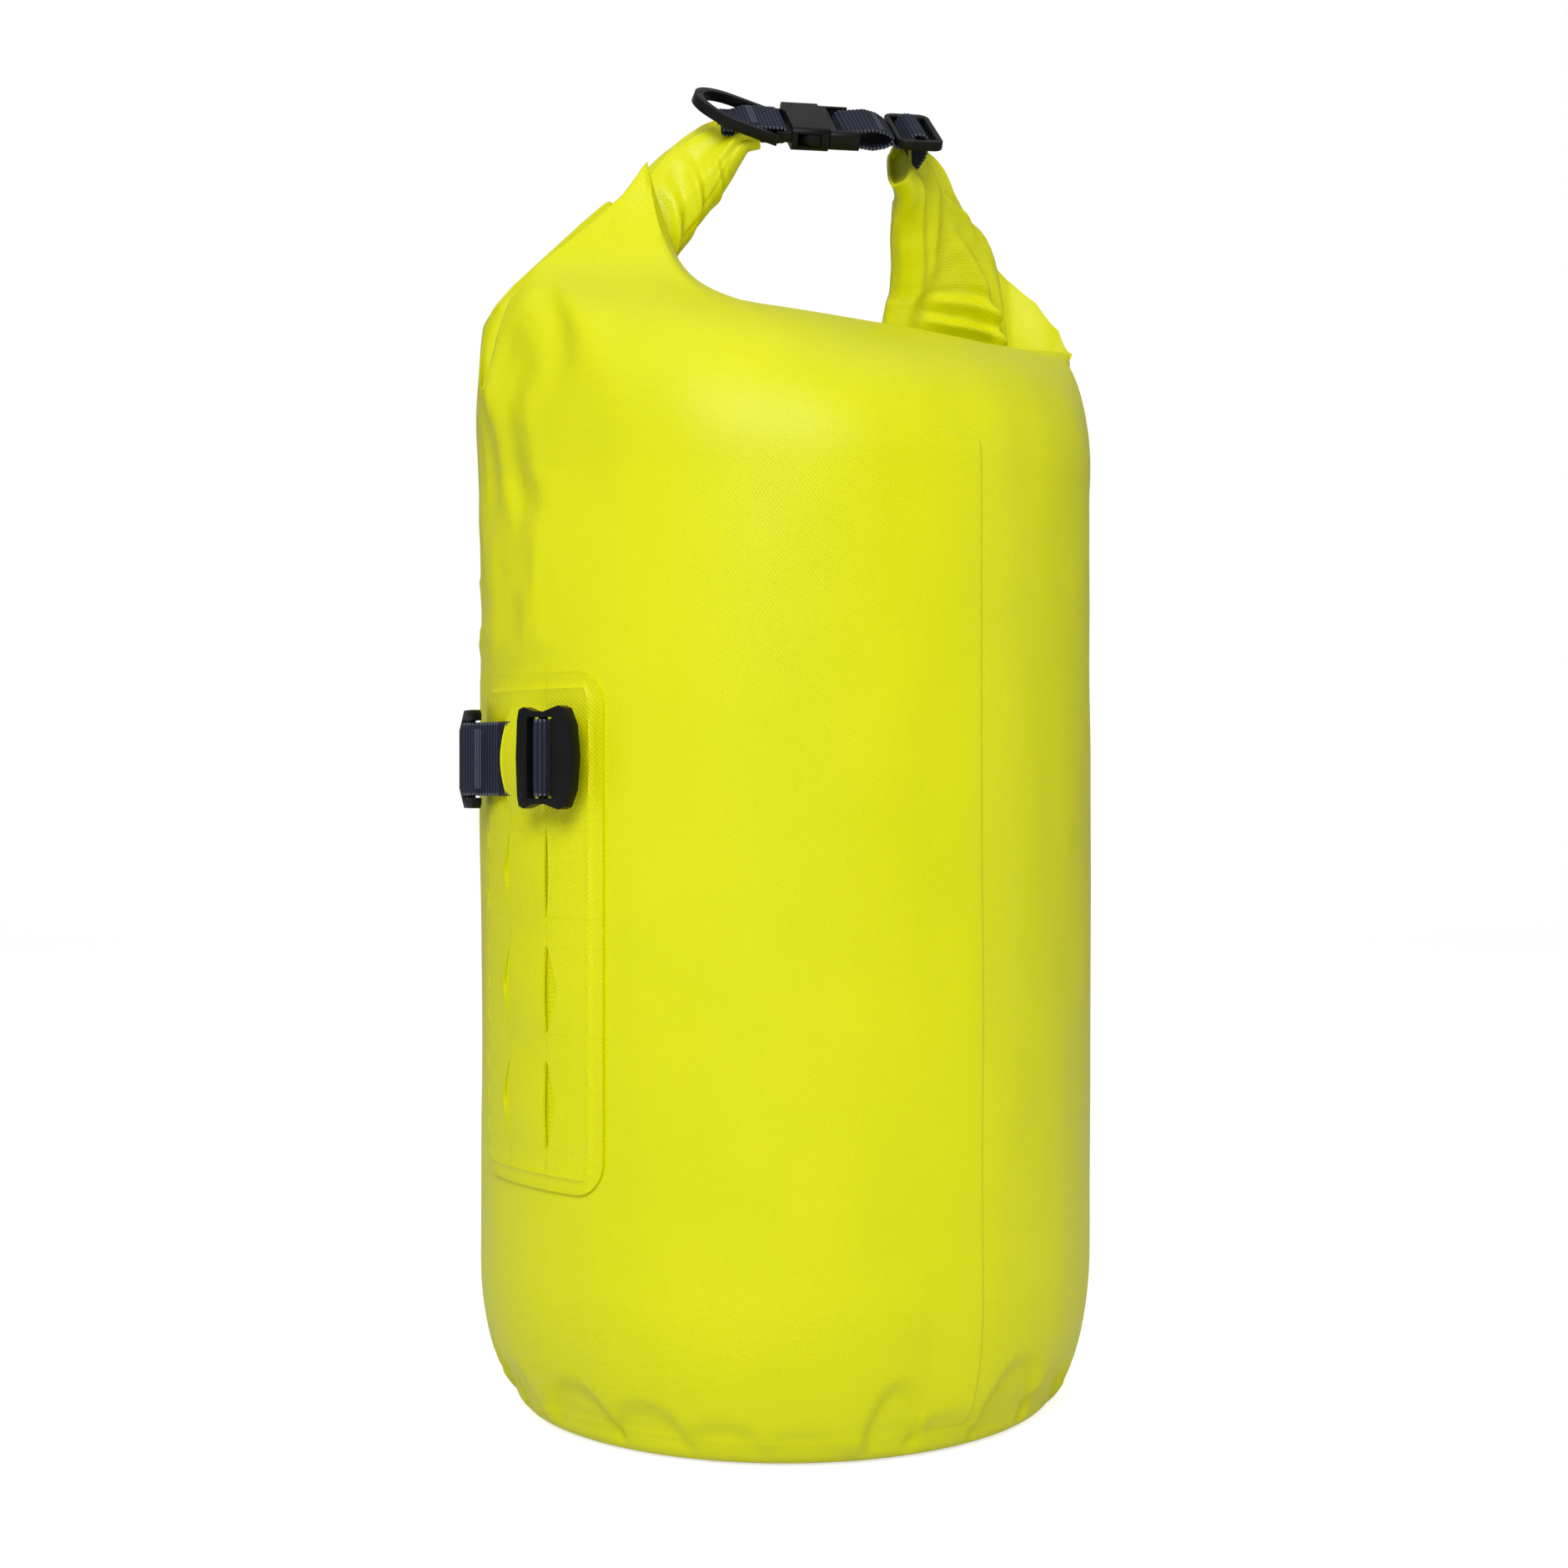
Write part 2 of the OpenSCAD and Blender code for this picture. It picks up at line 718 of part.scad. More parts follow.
// stands a flat shape up, its x along the bar, h thick about the bar's axis
module upright_plate(h) {
    rotate([0, -90, 0])
    translate([0, 0, -h / 2])
    linear_extrude(height = h)
    children();
}

bar_half = web_w / 2 + 0.7;

module ladder_lock() {
    h = bar_half + 3.3;
    color(plastic_colour) at_bar(lock_arc, lock_r)
    union() {
        upright_plate(3.8)
        difference() {
            polygon([
                [0, -11.2], [h - 4, -10.6], [h - 0.8, -9.8], [h, -7.6], [h - 1.4, -3], [h - 1.6, 2],
                [h - 0.6, 6], [h + 0.2, 9], [h - 0.6, 11.6], [h - 6, 14.4], [0, 15.6],
                [6 - h, 14.4], [0.6 - h, 11.6], [-h - 0.2, 9], [0.6 - h, 6],
                [1.6 - h, 2], [1.4 - h, -3], [-h, -7.6], [0.8 - h, -9.8], [4 - h, -10.6]
            ]);
            translate([-bar_half, -5.9]) square([2 * bar_half, 11.8]);
        }
        cylinder(r = bar_r, h = 2 * bar_half + 2, center = true, $fn = round_fn);
    }
}

module lash_ring() {
    h = bar_half + 3.6;
    color(plastic_colour) at_bar(hoop_arc, hoop_r)
    union() {
        upright_plate(3.2)
        difference() {
            polygon([
                [-10, -10.2], [10, -10.2], [h, -3.4], [h, 6.4], [h - 1.4, 8], [bar_half, 8],
                [bar_half, -5], [-bar_half, -5], [-bar_half, 8], [1.4 - h, 8], [-h, 6.4], [-h, -3.4]
            ]);
            polygon([
                [-9.6, -7.2], [9.6, -7.2], [bar_half, -3.6], [bar_half, 3.4],
                [-bar_half, 3.4], [-bar_half, -3.6]
            ]);
        }
        cylinder(r = bar_r, h = 2 * bar_half + 2, center = true, $fn = round_fn);
    }
}

body_wall();
base_panel();
base_seam_tape();
side_weld();
inner_seam_tape();
rolled_mouth();
mouth_stiffener();
lash_panel();
lash_webbing();
lash_stitching();
lash_ring();
ladder_lock();
left_tab_webbing();
left_tab_stitching();
hanging_ring();
buckle_socket();
buckle_plug();
near_prong();
far_prong();
right_tab_webbing();
right_tab_stitching();
strap_slider();
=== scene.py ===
import json
import math

import bpy
import numpy as np
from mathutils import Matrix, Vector, noise

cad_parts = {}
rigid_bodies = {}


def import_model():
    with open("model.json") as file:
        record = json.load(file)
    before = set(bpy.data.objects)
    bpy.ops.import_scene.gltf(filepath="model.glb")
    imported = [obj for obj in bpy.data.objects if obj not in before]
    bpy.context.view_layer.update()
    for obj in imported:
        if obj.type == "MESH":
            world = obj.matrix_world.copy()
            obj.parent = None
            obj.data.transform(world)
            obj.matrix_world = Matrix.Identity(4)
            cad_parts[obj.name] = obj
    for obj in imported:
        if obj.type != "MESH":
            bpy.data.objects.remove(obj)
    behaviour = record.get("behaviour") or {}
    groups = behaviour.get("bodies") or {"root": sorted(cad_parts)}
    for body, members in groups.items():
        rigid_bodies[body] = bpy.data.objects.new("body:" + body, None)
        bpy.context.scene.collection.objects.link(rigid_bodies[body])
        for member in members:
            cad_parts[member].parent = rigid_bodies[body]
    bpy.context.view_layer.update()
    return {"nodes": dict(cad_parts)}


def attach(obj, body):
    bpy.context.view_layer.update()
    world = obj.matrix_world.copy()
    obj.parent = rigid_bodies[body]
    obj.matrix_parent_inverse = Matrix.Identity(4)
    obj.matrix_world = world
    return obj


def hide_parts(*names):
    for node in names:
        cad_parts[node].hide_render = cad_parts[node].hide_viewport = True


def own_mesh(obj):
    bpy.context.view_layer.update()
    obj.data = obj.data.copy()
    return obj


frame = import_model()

mm = 0.001
print("frame loaded:", len(frame["nodes"]), "nodes")


# working helpers
def pick(piece):
    bpy.ops.object.select_all(action="DESELECT")
    piece.select_set(True)
    bpy.context.view_layer.objects.active = piece


def inEditMode(piece, *steps):
    pick(piece)
    bpy.ops.object.mode_set(mode="EDIT")
    bpy.ops.mesh.select_all(action="SELECT")
    for step in steps:
        step()
    bpy.ops.object.mode_set(mode="OBJECT")


def applyModifier(piece, kind, **settings):
    pick(piece)
    modifier = piece.modifiers.new(kind.title(), kind)
    for key, value in settings.items():
        setattr(modifier, key, value)
    bpy.ops.object.modifier_apply(modifier=modifier.name)


def drapedGrid(name, around, along, place, uvSize=(1, 1)):
    # place(u, v) gives each point of a grid its position; its UVs are in metres
    bpy.ops.object.select_all(action="DESELECT")
    bpy.ops.mesh.primitive_grid_add(x_subdivisions=around, y_subdivisions=along, size=1)
    piece = bpy.context.object
    piece.name = piece.data.name = name
    mesh = piece.data
    spots = [(vertex.co.x + 0.5, vertex.co.y + 0.5) for vertex in mesh.vertices]
    layer = mesh.uv_layers[0].data
    for loop in mesh.loops:
        u, v = spots[loop.vertex_index]
        layer[loop.index].uv = (u * uvSize[0], v * uvSize[1])
    for vertex, (u, v) in zip(mesh.vertices, spots):
        vertex.co = place(u, v)
    return piece


def weld(piece, distance=0.00002, cap=True):
    steps = [lambda: bpy.ops.mesh.remove_doubles(threshold=distance)]
    if cap:
        steps.append(lambda: bpy.ops.mesh.fill_holes(sides=0))
        steps.append(lambda: bpy.ops.mesh.select_all(action="SELECT"))
    steps.append(lambda: bpy.ops.mesh.normals_make_consistent(inside=False))
    inEditMode(piece, *steps)


def smooth(piece, angle=40):
    pick(piece)
    bpy.ops.object.shade_smooth_by_angle(angle=math.radians(angle))


def dress(piece, finish, body, slot, *replaced):
    piece.data.materials.clear()
    piece.data.materials.append(finish)
    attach(piece, body)
    if replaced:
        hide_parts(*replaced)


def blendStep(value, low, high):
    t = min(1.0, max(0.0, (value - low) / (high - low)))
    return t * t * (3 - 2 * t)


def hump(value, middle, width):
    return math.exp(-((value - middle) / width) ** 2)


def ridges(x, y, z):
    # sharp-crested noise between -1.6 and 1
    return 1 - 2.6 * abs(noise.noise(Vector((x, y, z))))


def splineThrough(stations, steps):
    # even steps along a smooth curve through rows of numbers
    rows = np.array(stations, float)
    count = len(rows) - 1
    result = []
    for k in range(steps + 1):
        t = count * k / steps
        i = min(int(t), count - 1)
        f = t - i
        a, b, c, d = (rows[min(max(j, 0), count)] for j in (i - 1, i, i + 1, i + 2))
        result.append(b + 0.5 * f * (c - a + f * (2 * a - 5 * b + 4 * c - d + f * (3 * (b - c) + d - a))))
    return np.array(result)


# shader helpers
def newMaterial(name):
    material = bpy.data.materials.new(name)
    material.use_nodes = True
    return material, material.node_tree.nodes, material.node_tree.links


def groupWith(name, inputs, outputs):
    group = bpy.data.node_groups.new(name, "ShaderNodeTree")
    for label, kind, value in inputs:
        socket = group.interface.new_socket(label, in_out="INPUT", socket_type=kind)
        if value is not None:
            socket.default_value = value
    for label, kind in outputs:
        group.interface.new_socket(label, in_out="OUTPUT", socket_type=kind)
    return group, group.nodes.new("NodeGroupInput"), group.nodes.new("NodeGroupOutput")


def math2(tree, operation, first, second=None):
    node = tree.nodes.new("ShaderNodeMath")
    node.operation = operation
    for socket, value in zip(node.inputs, (first, second)):
        if value is None:
            continue
        if isinstance(value, (int, float)):
            socket.default_value = value
        else:
            tree.links.new(value, socket)
    return node.outputs[0]


def weaveGroup():
    # two crossing sets of threads; Vector and Pitch in metres, Height 0 to 1
    group, start, end = groupWith(
        "crossedThreads",
        [("Vector", "NodeSocketVector", None), ("Pitch", "NodeSocketFloat", 0.0006)],
        [("Height", "NodeSocketFloat")],
    )
    split = group.nodes.new("ShaderNodeSeparateXYZ")
    group.links.new(start.outputs["Vector"], split.inputs[0])
    turns = math2(group, "DIVIDE", 2 * math.pi, start.outputs["Pitch"])
    warp = math2(group, "SINE", math2(group, "MULTIPLY", split.outputs["X"], turns))
    weft = math2(group, "SINE", math2(group, "MULTIPLY", split.outputs["Y"], turns))
    product = math2(group, "MULTIPLY", warp, weft)
    group.links.new(math2(group, "ADD", math2(group, "MULTIPLY", product, 0.5), 0.5), end.inputs["Height"])
    return group


def grainGroup():
    # fine and broad noise of a moulded or worn surface, both 0 to 1
    group, start, end = groupWith(
        "surfaceGrain",
        [("Vector", "NodeSocketVector", None), ("Fine", "NodeSocketFloat", 2400.0),
         ("Broad", "NodeSocketFloat", 60.0)],
        [("Grain", "NodeSocketFloat"), ("Patches", "NodeSocketFloat")],
    )
    for label, output, detail in (("Fine", "Grain", 3), ("Broad", "Patches", 5)):
        texture = group.nodes.new("ShaderNodeTexNoise")
        texture.inputs["Detail"].default_value = detail
        group.links.new(start.outputs["Vector"], texture.inputs["Vector"])
        group.links.new(start.outputs[label], texture.inputs["Scale"])
        group.links.new(texture.outputs["Fac"], end.inputs[output])
    return group


threads = weaveGroup()
grain = grainGroup()


def placeGroup(material, group, vector, **values):
    node = material.node_tree.nodes.new("ShaderNodeGroup")
    node.node_tree = group
    material.node_tree.links.new(vector, node.inputs["Vector"])
    for label, value in values.items():
        node.inputs[label].default_value = value
    return node


def ramp(material, factor, *stops):
    node = material.node_tree.nodes.new("ShaderNodeValToRGB")
    material.node_tree.links.new(factor, node.inputs["Fac"])
    elements = node.color_ramp.elements
    while len(elements) < len(stops):
        elements.new(0.5)
    for element, (position, colour) in zip(elements, stops):
        element.position = position
        element.color = (*colour, 1) if len(colour) == 3 else colour
    return node.outputs["Color"]


def bumpFrom(material, height, strength, distance, under=None):
    node = material.node_tree.nodes.new("ShaderNodeBump")
    node.inputs["Strength"].default_value = strength
    node.inputs["Distance"].default_value = distance
    material.node_tree.links.new(height, node.inputs["Height"])
    if under is not None:
        material.node_tree.links.new(under, node.inputs["Normal"])
    return node.outputs["Normal"]


def coatedFabric(name, useUv=True, pitch=0.0012, light=(0.80, 0.81, 0.0), dark=(0.74, 0.765, 0.0),
                 rough=(0.34, 0.47), weaveDepth=0.00012, coat=0.12):
    material, nodes, links = newMaterial(name)
    shader = nodes["Principled BSDF"]
    coords = nodes.new("ShaderNodeTexCoord")
    place = coords.outputs["UV" if useUv else "Object"]
    turn = nodes.new("ShaderNodeMapping")
    turn.inputs["Rotation"].default_value = (0, 0, math.radians(0 if useUv else 30))
    links.new(place, turn.inputs["Vector"])
    weave = placeGroup(material, threads, turn.outputs[0], Pitch=pitch)
    worn = placeGroup(material, grain, coords.outputs["Object"], Fine=900.0, Broad=14.0)
    tint = ramp(material, worn.outputs["Patches"], (0.35, dark), (0.62, light))
    mix = nodes.new("ShaderNodeMix")
    mix.data_type = "RGBA"
    mix.inputs["B"].default_value = (light[0] * 0.78, light[1] * 0.80, 0.0, 1)
    fleck = math2(material.node_tree, "MULTIPLY", weave.outputs["Height"], 0.45)
    links.new(fleck, mix.inputs["Factor"])
    links.new(tint, mix.inputs["A"])
    links.new(mix.outputs["Result"], shader.inputs["Base Color"])
    gloss = nodes.new("ShaderNodeMapRange")
    links.new(worn.outputs["Patches"], gloss.inputs["Value"])
    gloss.inputs["From Min"].default_value = 0.3
    gloss.inputs["From Max"].default_value = 0.7
    gloss.inputs["To Min"].default_value, gloss.inputs["To Max"].default_value = rough
    links.new(gloss.outputs["Result"], shader.inputs["Roughness"])
    shader.inputs["Coat Weight"].default_value = coat
    shader.inputs["Coat Roughness"].default_value = 0.35
    shader.inputs["Specular IOR Level"].default_value = 0.25
    broad = bumpFrom(material, worn.outputs["Patches"], 0.25, 0.002)
    fine = bumpFrom(material, worn.outputs["Grain"], 0.15, 0.0001, broad)
    links.new(bumpFrom(material, weave.outputs["Height"], 0.6, weaveDepth, fine), shader.inputs["Normal"])
    return material


def ribbedWebbing(name):
    # ribbed weave: UV x runs along the strap in metres, UV y across it
    material, nodes, links = newMaterial(name)
    tree = material.node_tree
    shader = nodes["Principled BSDF"]
    coords = nodes.new("ShaderNodeTexCoord")
    split = nodes.new("ShaderNodeSeparateXYZ")
    links.new(coords.outputs["UV"], split.inputs[0])
    picks = math2(tree, "SINE", math2(tree, "MULTIPLY", split.outputs["X"], 2 * math.pi / 0.0014))
    ends = math2(tree, "SINE", math2(tree, "MULTIPLY", split.outputs["Y"], 2 * math.pi / 0.0007))
    both = math2(tree, "ADD", math2(tree, "MULTIPLY", picks, 0.35), math2(tree, "MULTIPLY", ends, 0.15))
    height = math2(tree, "ADD", both, 0.5)
    worn = placeGroup(material, grain, coords.outputs["Object"], Fine=1800.0, Broad=70.0)
    # the colour darkens where the ribs' height is low: painted shade in the grooves between the ribs, mixed
    # with random grain
    grooveShadeAndGrain = math2(tree, "ADD", math2(tree, "MULTIPLY", height, 0.75),
                  math2(tree, "MULTIPLY", worn.outputs["Grain"], 0.25))
    tint = ramp(material, grooveShadeAndGrain, (0.3, (0.002, 0.0025, 0.006)), (0.75, (0.022, 0.026, 0.058)))
    # pale threads along both edges, broken by the picks
    fromMiddle = math2(tree, "ABSOLUTE", math2(tree, "SUBTRACT", split.outputs["Y"], 0.0125))
    edge = math2(tree, "GREATER_THAN", fromMiddle, 0.01165)
    pale = math2(tree, "MULTIPLY", edge, math2(tree, "GREATER_THAN", picks, 0.1))
    mix = nodes.new("ShaderNodeMix")
    mix.data_type = "RGBA"
    mix.inputs["B"].default_value = (0.12, 0.13, 0.17, 1)
    links.new(math2(tree, "MULTIPLY", pale, 0.8), mix.inputs["Factor"])
    links.new(tint, mix.inputs["A"])
    links.new(mix.outputs["Result"], shader.inputs["Base Color"])
    shader.inputs["Roughness"].default_value = 0.75
    shader.inputs["Specular IOR Level"].default_value = 0.3
    links.new(bumpFrom(material, height, 0.7, 0.00025), shader.inputs["Normal"])
    return material


def mouldedPlastic(name, colour=(0.004, 0.004, 0.004), rough=(0.3, 0.42)):
    material, nodes, links = newMaterial(name)
    shader = nodes["Principled BSDF"]
    coords = nodes.new("ShaderNodeTexCoord")
    worn = placeGroup(material, grain, coords.outputs["Object"], Fine=2600.0, Broad=90.0)
    darker, paler = (tuple(share * c for c in colour) for share in (0.8, 1.5))
    tint = ramp(material, worn.outputs["Patches"], (0.3, darker), (0.75, paler))
    links.new(tint, shader.inputs["Base Color"])
    shader.inputs["Specular IOR Level"].default_value = 0.16
    gloss = nodes.new("ShaderNodeMapRange")
    links.new(worn.outputs["Patches"], gloss.inputs["Value"])
    gloss.inputs["From Min"].default_value = 0.3
    gloss.inputs["From Max"].default_value = 0.7
    gloss.inputs["To Min"].default_value, gloss.inputs["To Max"].default_value = rough
    links.new(gloss.outputs["Result"], shader.inputs["Roughness"])
    links.new(bumpFrom(material, worn.outputs["Grain"], 0.25, 0.00008), shader.inputs["Normal"])
    return material


def twistedThread(name):
    material, nodes, links = newMaterial(name)
    shader = nodes["Principled BSDF"]
    coords = nodes.new("ShaderNodeTexCoord")
    wave = nodes.new("ShaderNodeTexWave")
    wave.inputs["Scale"].default_value = 900
    links.new(coords.outputs["Object"], wave.inputs["Vector"])
    links.new(ramp(material, wave.outputs["Fac"], (0.2, (0.03, 0.035, 0.06)), (0.8, (0.09, 0.1, 0.15))),
              shader.inputs["Base Color"])
    shader.inputs["Roughness"].default_value = 0.6
    links.new(bumpFrom(material, wave.outputs["Fac"], 0.5, 0.0001), shader.inputs["Normal"])
    return material


limeFabric = coatedFabric("lime_coated_fabric")
limeWeld = coatedFabric("lime_welded_fabric", weaveDepth=0.00007)
limePanel = coatedFabric("lime_panel_fabric", pitch=0.0014, weaveDepth=0.00016, coat=0.04)
limeLining = coatedFabric("lime_lining_tape", useUv=False, light=(0.5, 0.54, 0.12), dark=(0.44, 0.48, 0.1))
navyWebbing = ribbedWebbing("navy_webbing")
blackPlastic = mouldedPlastic("black_moulded_plastic")
stiffPlastic = mouldedPlastic("stiffener_plastic", (0.03, 0.03, 0.03), (0.5, 0.6))
navyThread = twistedThread("navy_thread")
print("materials made")

# the bag's form, in mm
bag = dict(
    radius=110.0, baseRadius=90.0, cornerHeight=52.0, shoulderStart=322.0, foldTop=389.0, valleyDepth=13.0,
    leftEnd=117.0, rightEnd=127.0, frontY=-4.0, backY=20.0,
    columns=340, rows=210,
)
# the top edge of the front wall and of the back wall, from left to right
frontLine = dict(
    x=[-117, -116, -113.5, -108.4, -99.2, -80.5, -67, -61,
       -58, -55.5, -52.5, -49.5, -46, -42.5, -39, -30,
       -8.2, 18, 38.4, 68.6, 88, 127],
    z=[352, 359, 370, 383, 395.4, 410.6, 423.4, 431.5,
       436.4, 427.6, 419.7, 412, 404.5, 397.4, 393.7, 391.4,
       389.5, 387.8, 387, 385.8, 386, 387],
)
backLine = dict(
    x=[-117, -115.5, -112, -107.5, -99, -85.5, -72, -62, -56, -50, -44,
       0, 45, 62, 74, 84, 92, 104, 114, 121, 126, 127],
    z=[352, 360, 372, 382, 392, 405, 418, 427, 424, 400, 366,
       350, 356, 382, 410, 426, 429, 425, 417.5, 409, 397, 387],
)
# dents of the base corner: middle in degrees, half width in degrees, height, depth
baseDents = [
    (167, 9, 30, 3.5), (178, 8, 26, 3.0), (198, 10, 27, 3.6), (214, 9, 24, 3.2), (229, 8, 20, 2.0),
    (243, 8, 17, 1.4), (260, 6, 33, 3.0), (271, 9, 19, 2.4), (287, 9, 34, 3.8), (303, 10, 27, 3.4),
    (322, 8, 30, 3.0), (340, 11, 25, 3.6), (358, 8, 32, 3.2), (375, 10, 24, 3.5), (392, 9, 29, 3.0),
    (411, 11, 26, 3.7), (430, 8, 31, 3.0), (449, 10, 23, 3.3), (467, 9, 30, 3.2), (486, 10, 26, 3.5),
    (506, 8, 28, 2.8),
]


def baseDent(degrees, z):
    total = 0.0
    for middle, half, height, depth in baseDents:
        for turn in (-360, 0, 360):
            off = (degrees - middle + turn) / half
            if abs(off) < 1.25:
                reach = 0.9 * height * math.sqrt(max(0.0, 1 - min(1.0, abs(off)) ** 2.2))
                total += 0.85 * depth * blendStep(reach - z, -1.5, 7) * blendStep(z, 0.5, 9)
    return total


def topHeight(x, line):
    return float(np.interp(x, line["x"], line["z"]))


def edgePoint(angle):
    # where the wall at this angle meets the flat top
    c, s = math.cos(angle), math.sin(angle)
    x = c * (bag["leftEnd"] if c < 0 else bag["rightEnd"])
    side = min(1.0, 2.2 * abs(s))
    middleY = 3.0 - 6.0 * blendStep(x, 60, bag["rightEnd"])
    if s < 0:
        return Vector((x, middleY - (middleY - bag["frontY"]) * side, topHeight(x, frontLine)))
    return Vector((x, middleY + (bag["backY"] - middleY) * side, topHeight(x, backLine)))


# how the filled wall stands off a true cylinder, in mm and degrees
waves = dict(
    broad=0.9, small=0.35, broadTurns=3.2, smallTurns=7, broadHeight=95, smallHeight=38, inset=0.35,
    sideCreases=((184.5, 130), (1.5, 95)), creaseTop=372, creaseFull=352, slackDepth=1.3,
)
# how the wall closes towards the flat top
shoulder = dict(
    inwards=1.15, upwards=0.95, lateRise=8, blend=30, valleys=((191.0, 3.0, 6.0), (8.0, 2.2, 6.0)),
    foldDepth=1.1, grooveAt=203, grooveDepth=3.0, grooveWide=4.5,
    rumpleFrom=12, rumpleLength=34, rumpleHeight=1.7, climb=110,
)


def within(value, low, high, fadeIn, fadeOut):
    # 1 between low and high, fading to 0 over the two widths outside them
    return blendStep(value, low - fadeIn, low) * (1 - blendStep(value, high, high + fadeOut))


def turnFrom(degrees, middle):
    return (degrees - middle + 180) % 360 - 180


def wallWaves(angle, degrees, z):
    c, s = math.cos(angle), math.sin(angle)
    far, near = waves["broadTurns"], waves["smallTurns"]
    broad = noise.noise(Vector((far * c, far * s, z / waves["broadHeight"])))
    small = noise.noise(Vector((near * c + 9, near * s, z / waves["smallHeight"])))
    value = waves["broad"] * broad + waves["small"] * small
    # the side creases left by flattening the mouth
    for middle, reach in waves["sideCreases"]:
        off = turnFrom(degrees, middle)
        strength = blendStep(z, waves["creaseTop"] - reach, waves["creaseFull"])
        value += strength * (-1.3 * hump(off, 0, 3.4) + 0.7 * hump(off, -7, 4) + 0.5 * hump(off, 7, 5))
    # short slack folds above the lash panel
    slack = within(z, 268, 318, 18, 22) * within(degrees, 168, 192, 18, 8)
    value += slack * waves["slackDepth"] * ridges(degrees / 9, z / 17, 4.2)
    # the wall is even under the panel
    nearPanel = within(degrees, 170, 209, 7, 7) * within(z, 84, 257, 8, 8)
    return value * (1 - nearPanel) - waves["inset"] - 0.1 * nearPanel


def basePoint(angle, share, lift):
    # the flat disc under the bag; share runs from its middle to its edge
    r = bag["baseRadius"] * share + lift * share
    slack = 0.25 * share * (1 + math.sin(7 * angle + 5 * share)) * (1 - share)
    z = 1.6 * (1 - share ** 2) + slack
    return Vector((r * math.cos(angle), r * math.sin(angle), z - min(lift, 0)))


def cornerPoint(angle, share, lift):
    # the rounded, dented corner above the disc
    degrees = math.degrees(angle) % 360
    t = share * math.pi / 2
    r = bag["baseRadius"] + (bag["radius"] - bag["baseRadius"]) * math.sin(t)
    z = max(bag["cornerHeight"] * (1 - math.cos(t)), -lift)
    rim = 0.5 * (1 - blendStep(z, 9.4, 10.2)) * blendStep(z, 0.2, 1.5)
    r += lift + wallWaves(angle, degrees, z) * blendStep(z, 2, 30) - baseDent(degrees, z) + rim
    return Vector((r * math.cos(angle), r * math.sin(angle), z))


def wallPoint(angle, z, lift):
    r = bag["radius"] + lift + wallWaves(angle, math.degrees(angle) % 360, z)
    return Vector((r * math.cos(angle), r * math.sin(angle), z))


def shoulderPoint(angle, t, lift):
    # t runs from the top of the round wall to the flat top's edge
    degrees = math.degrees(angle) % 360
    c, s = math.cos(angle), math.sin(angle)
    top = edgePoint(angle)
    low = wallPoint(angle, bag["shoulderStart"], lift)
    across = 1 - math.cos(t * math.pi / 2) ** shoulder["inwards"]
    up = math.sin(t * math.pi / 2) ** shoulder["upwards"]
    # the part of the edge that stands above the fold rises late, drawn tight by the arms
    over = top.z - bag["foldTop"]
    over = 0.5 * (over + math.sqrt(over * over + shoulder["blend"]))
    level = top.z - over
    sideways = 0.5 * (across + math.sin(t * math.pi / 2)) if abs(top.x) > abs(low.x) else across
    point = Vector((
        low.x + (top.x - low.x) * sideways,
        low.y + (top.y - low.y) * across,
        low.z + (level - low.z) * up + over * t ** shoulder["lateRise"],
    ))
    # a valley along each side fold
    for middle, depth, wide in shoulder["valleys"]:
        along = blendStep(t, 0.3, 0.6) * (1 - 0.6 * blendStep(t, 0.8, 1))
        valley = depth * hump(turnFrom(degrees, middle), 0, wide) * along
        point.x += valley if middle > 90 else -valley
    # soft folds running from the corners over the shoulder
    folds = shoulder["foldDepth"] * ridges(degrees / 26, t * 1.3, 2.0)
    folds *= blendStep(t, 0.1, 0.5) * (1 - blendStep(t, 0.8, 0.99))
    # a groove inside the left edge and a small rumple under the lip
    grooveMiddle = shoulder["grooveAt"] + 16 * (t - 0.5)
    groove = -shoulder["grooveDepth"] * hump(degrees, grooveMiddle, shoulder["grooveWide"])
    groove *= blendStep(t, 0.2, 0.5) * (1 - blendStep(t, 0.75, 0.97))
    lipSpot = (top.x - shoulder["rumpleFrom"]) / shoulder["rumpleLength"]
    rumple = shoulder["rumpleHeight"] * hump(t, 0.95 - 0.13 * lipSpot, 0.035) * hump(lipSpot, 0.5, 0.42)
    if s >= 0:
        rumple = 0
    return point + Vector(((folds + groove) * c, (folds + groove + rumple) * s, 0.6 * rumple))


def turnedInPoint(angle, turn, lift):
    # over the edge and down into the valley that holds the roll
    start = shoulderPoint(angle, 1.0, lift)
    top = edgePoint(angle)
    floorZ = min(topHeight(top.x, frontLine), topHeight(top.x, backLine)) - bag["valleyDepth"]
    floorY = 0.5 * (bag["frontY"] + bag["backY"]) * (1 - blendStep(abs(top.x), 90, 130))
    inward = 1 if math.sin(angle) < 0 else -1
    bulge = 0.5 * math.sin(min(1, turn / 0.12) * math.pi)
    lipped = start + Vector((0, inward * 1.6 * blendStep(turn, 0, 0.12), bulge))
    down = blendStep(turn, 0.06, 1.0)
    return Vector((
        lipped.x * (1 - 0.04 * down),
        lipped.y + (floorY - lipped.y) * down ** 1.6,
        lipped.z + (floorZ - lipped.z) * down,
    ))


def shellPoint(angle, part, lift=0.0):
    # part 0-1 base disc, 1-2 corner, 2-3 wall, 3-4 shoulder, 4-5 turned-in edge; lift is outwards, in mm
    if part <= 1:
        return basePoint(angle, part, lift)
    if part <= 2:
        return cornerPoint(angle, part - 1, lift)
    if part <= 3:
        z = bag["cornerHeight"] + (bag["shoulderStart"] - bag["cornerHeight"]) * (part - 2)
        return wallPoint(angle, z, lift)
    if part <= 4:
        return shoulderPoint(angle, part - 3, lift)
    return turnedInPoint(angle, part - 4, lift)


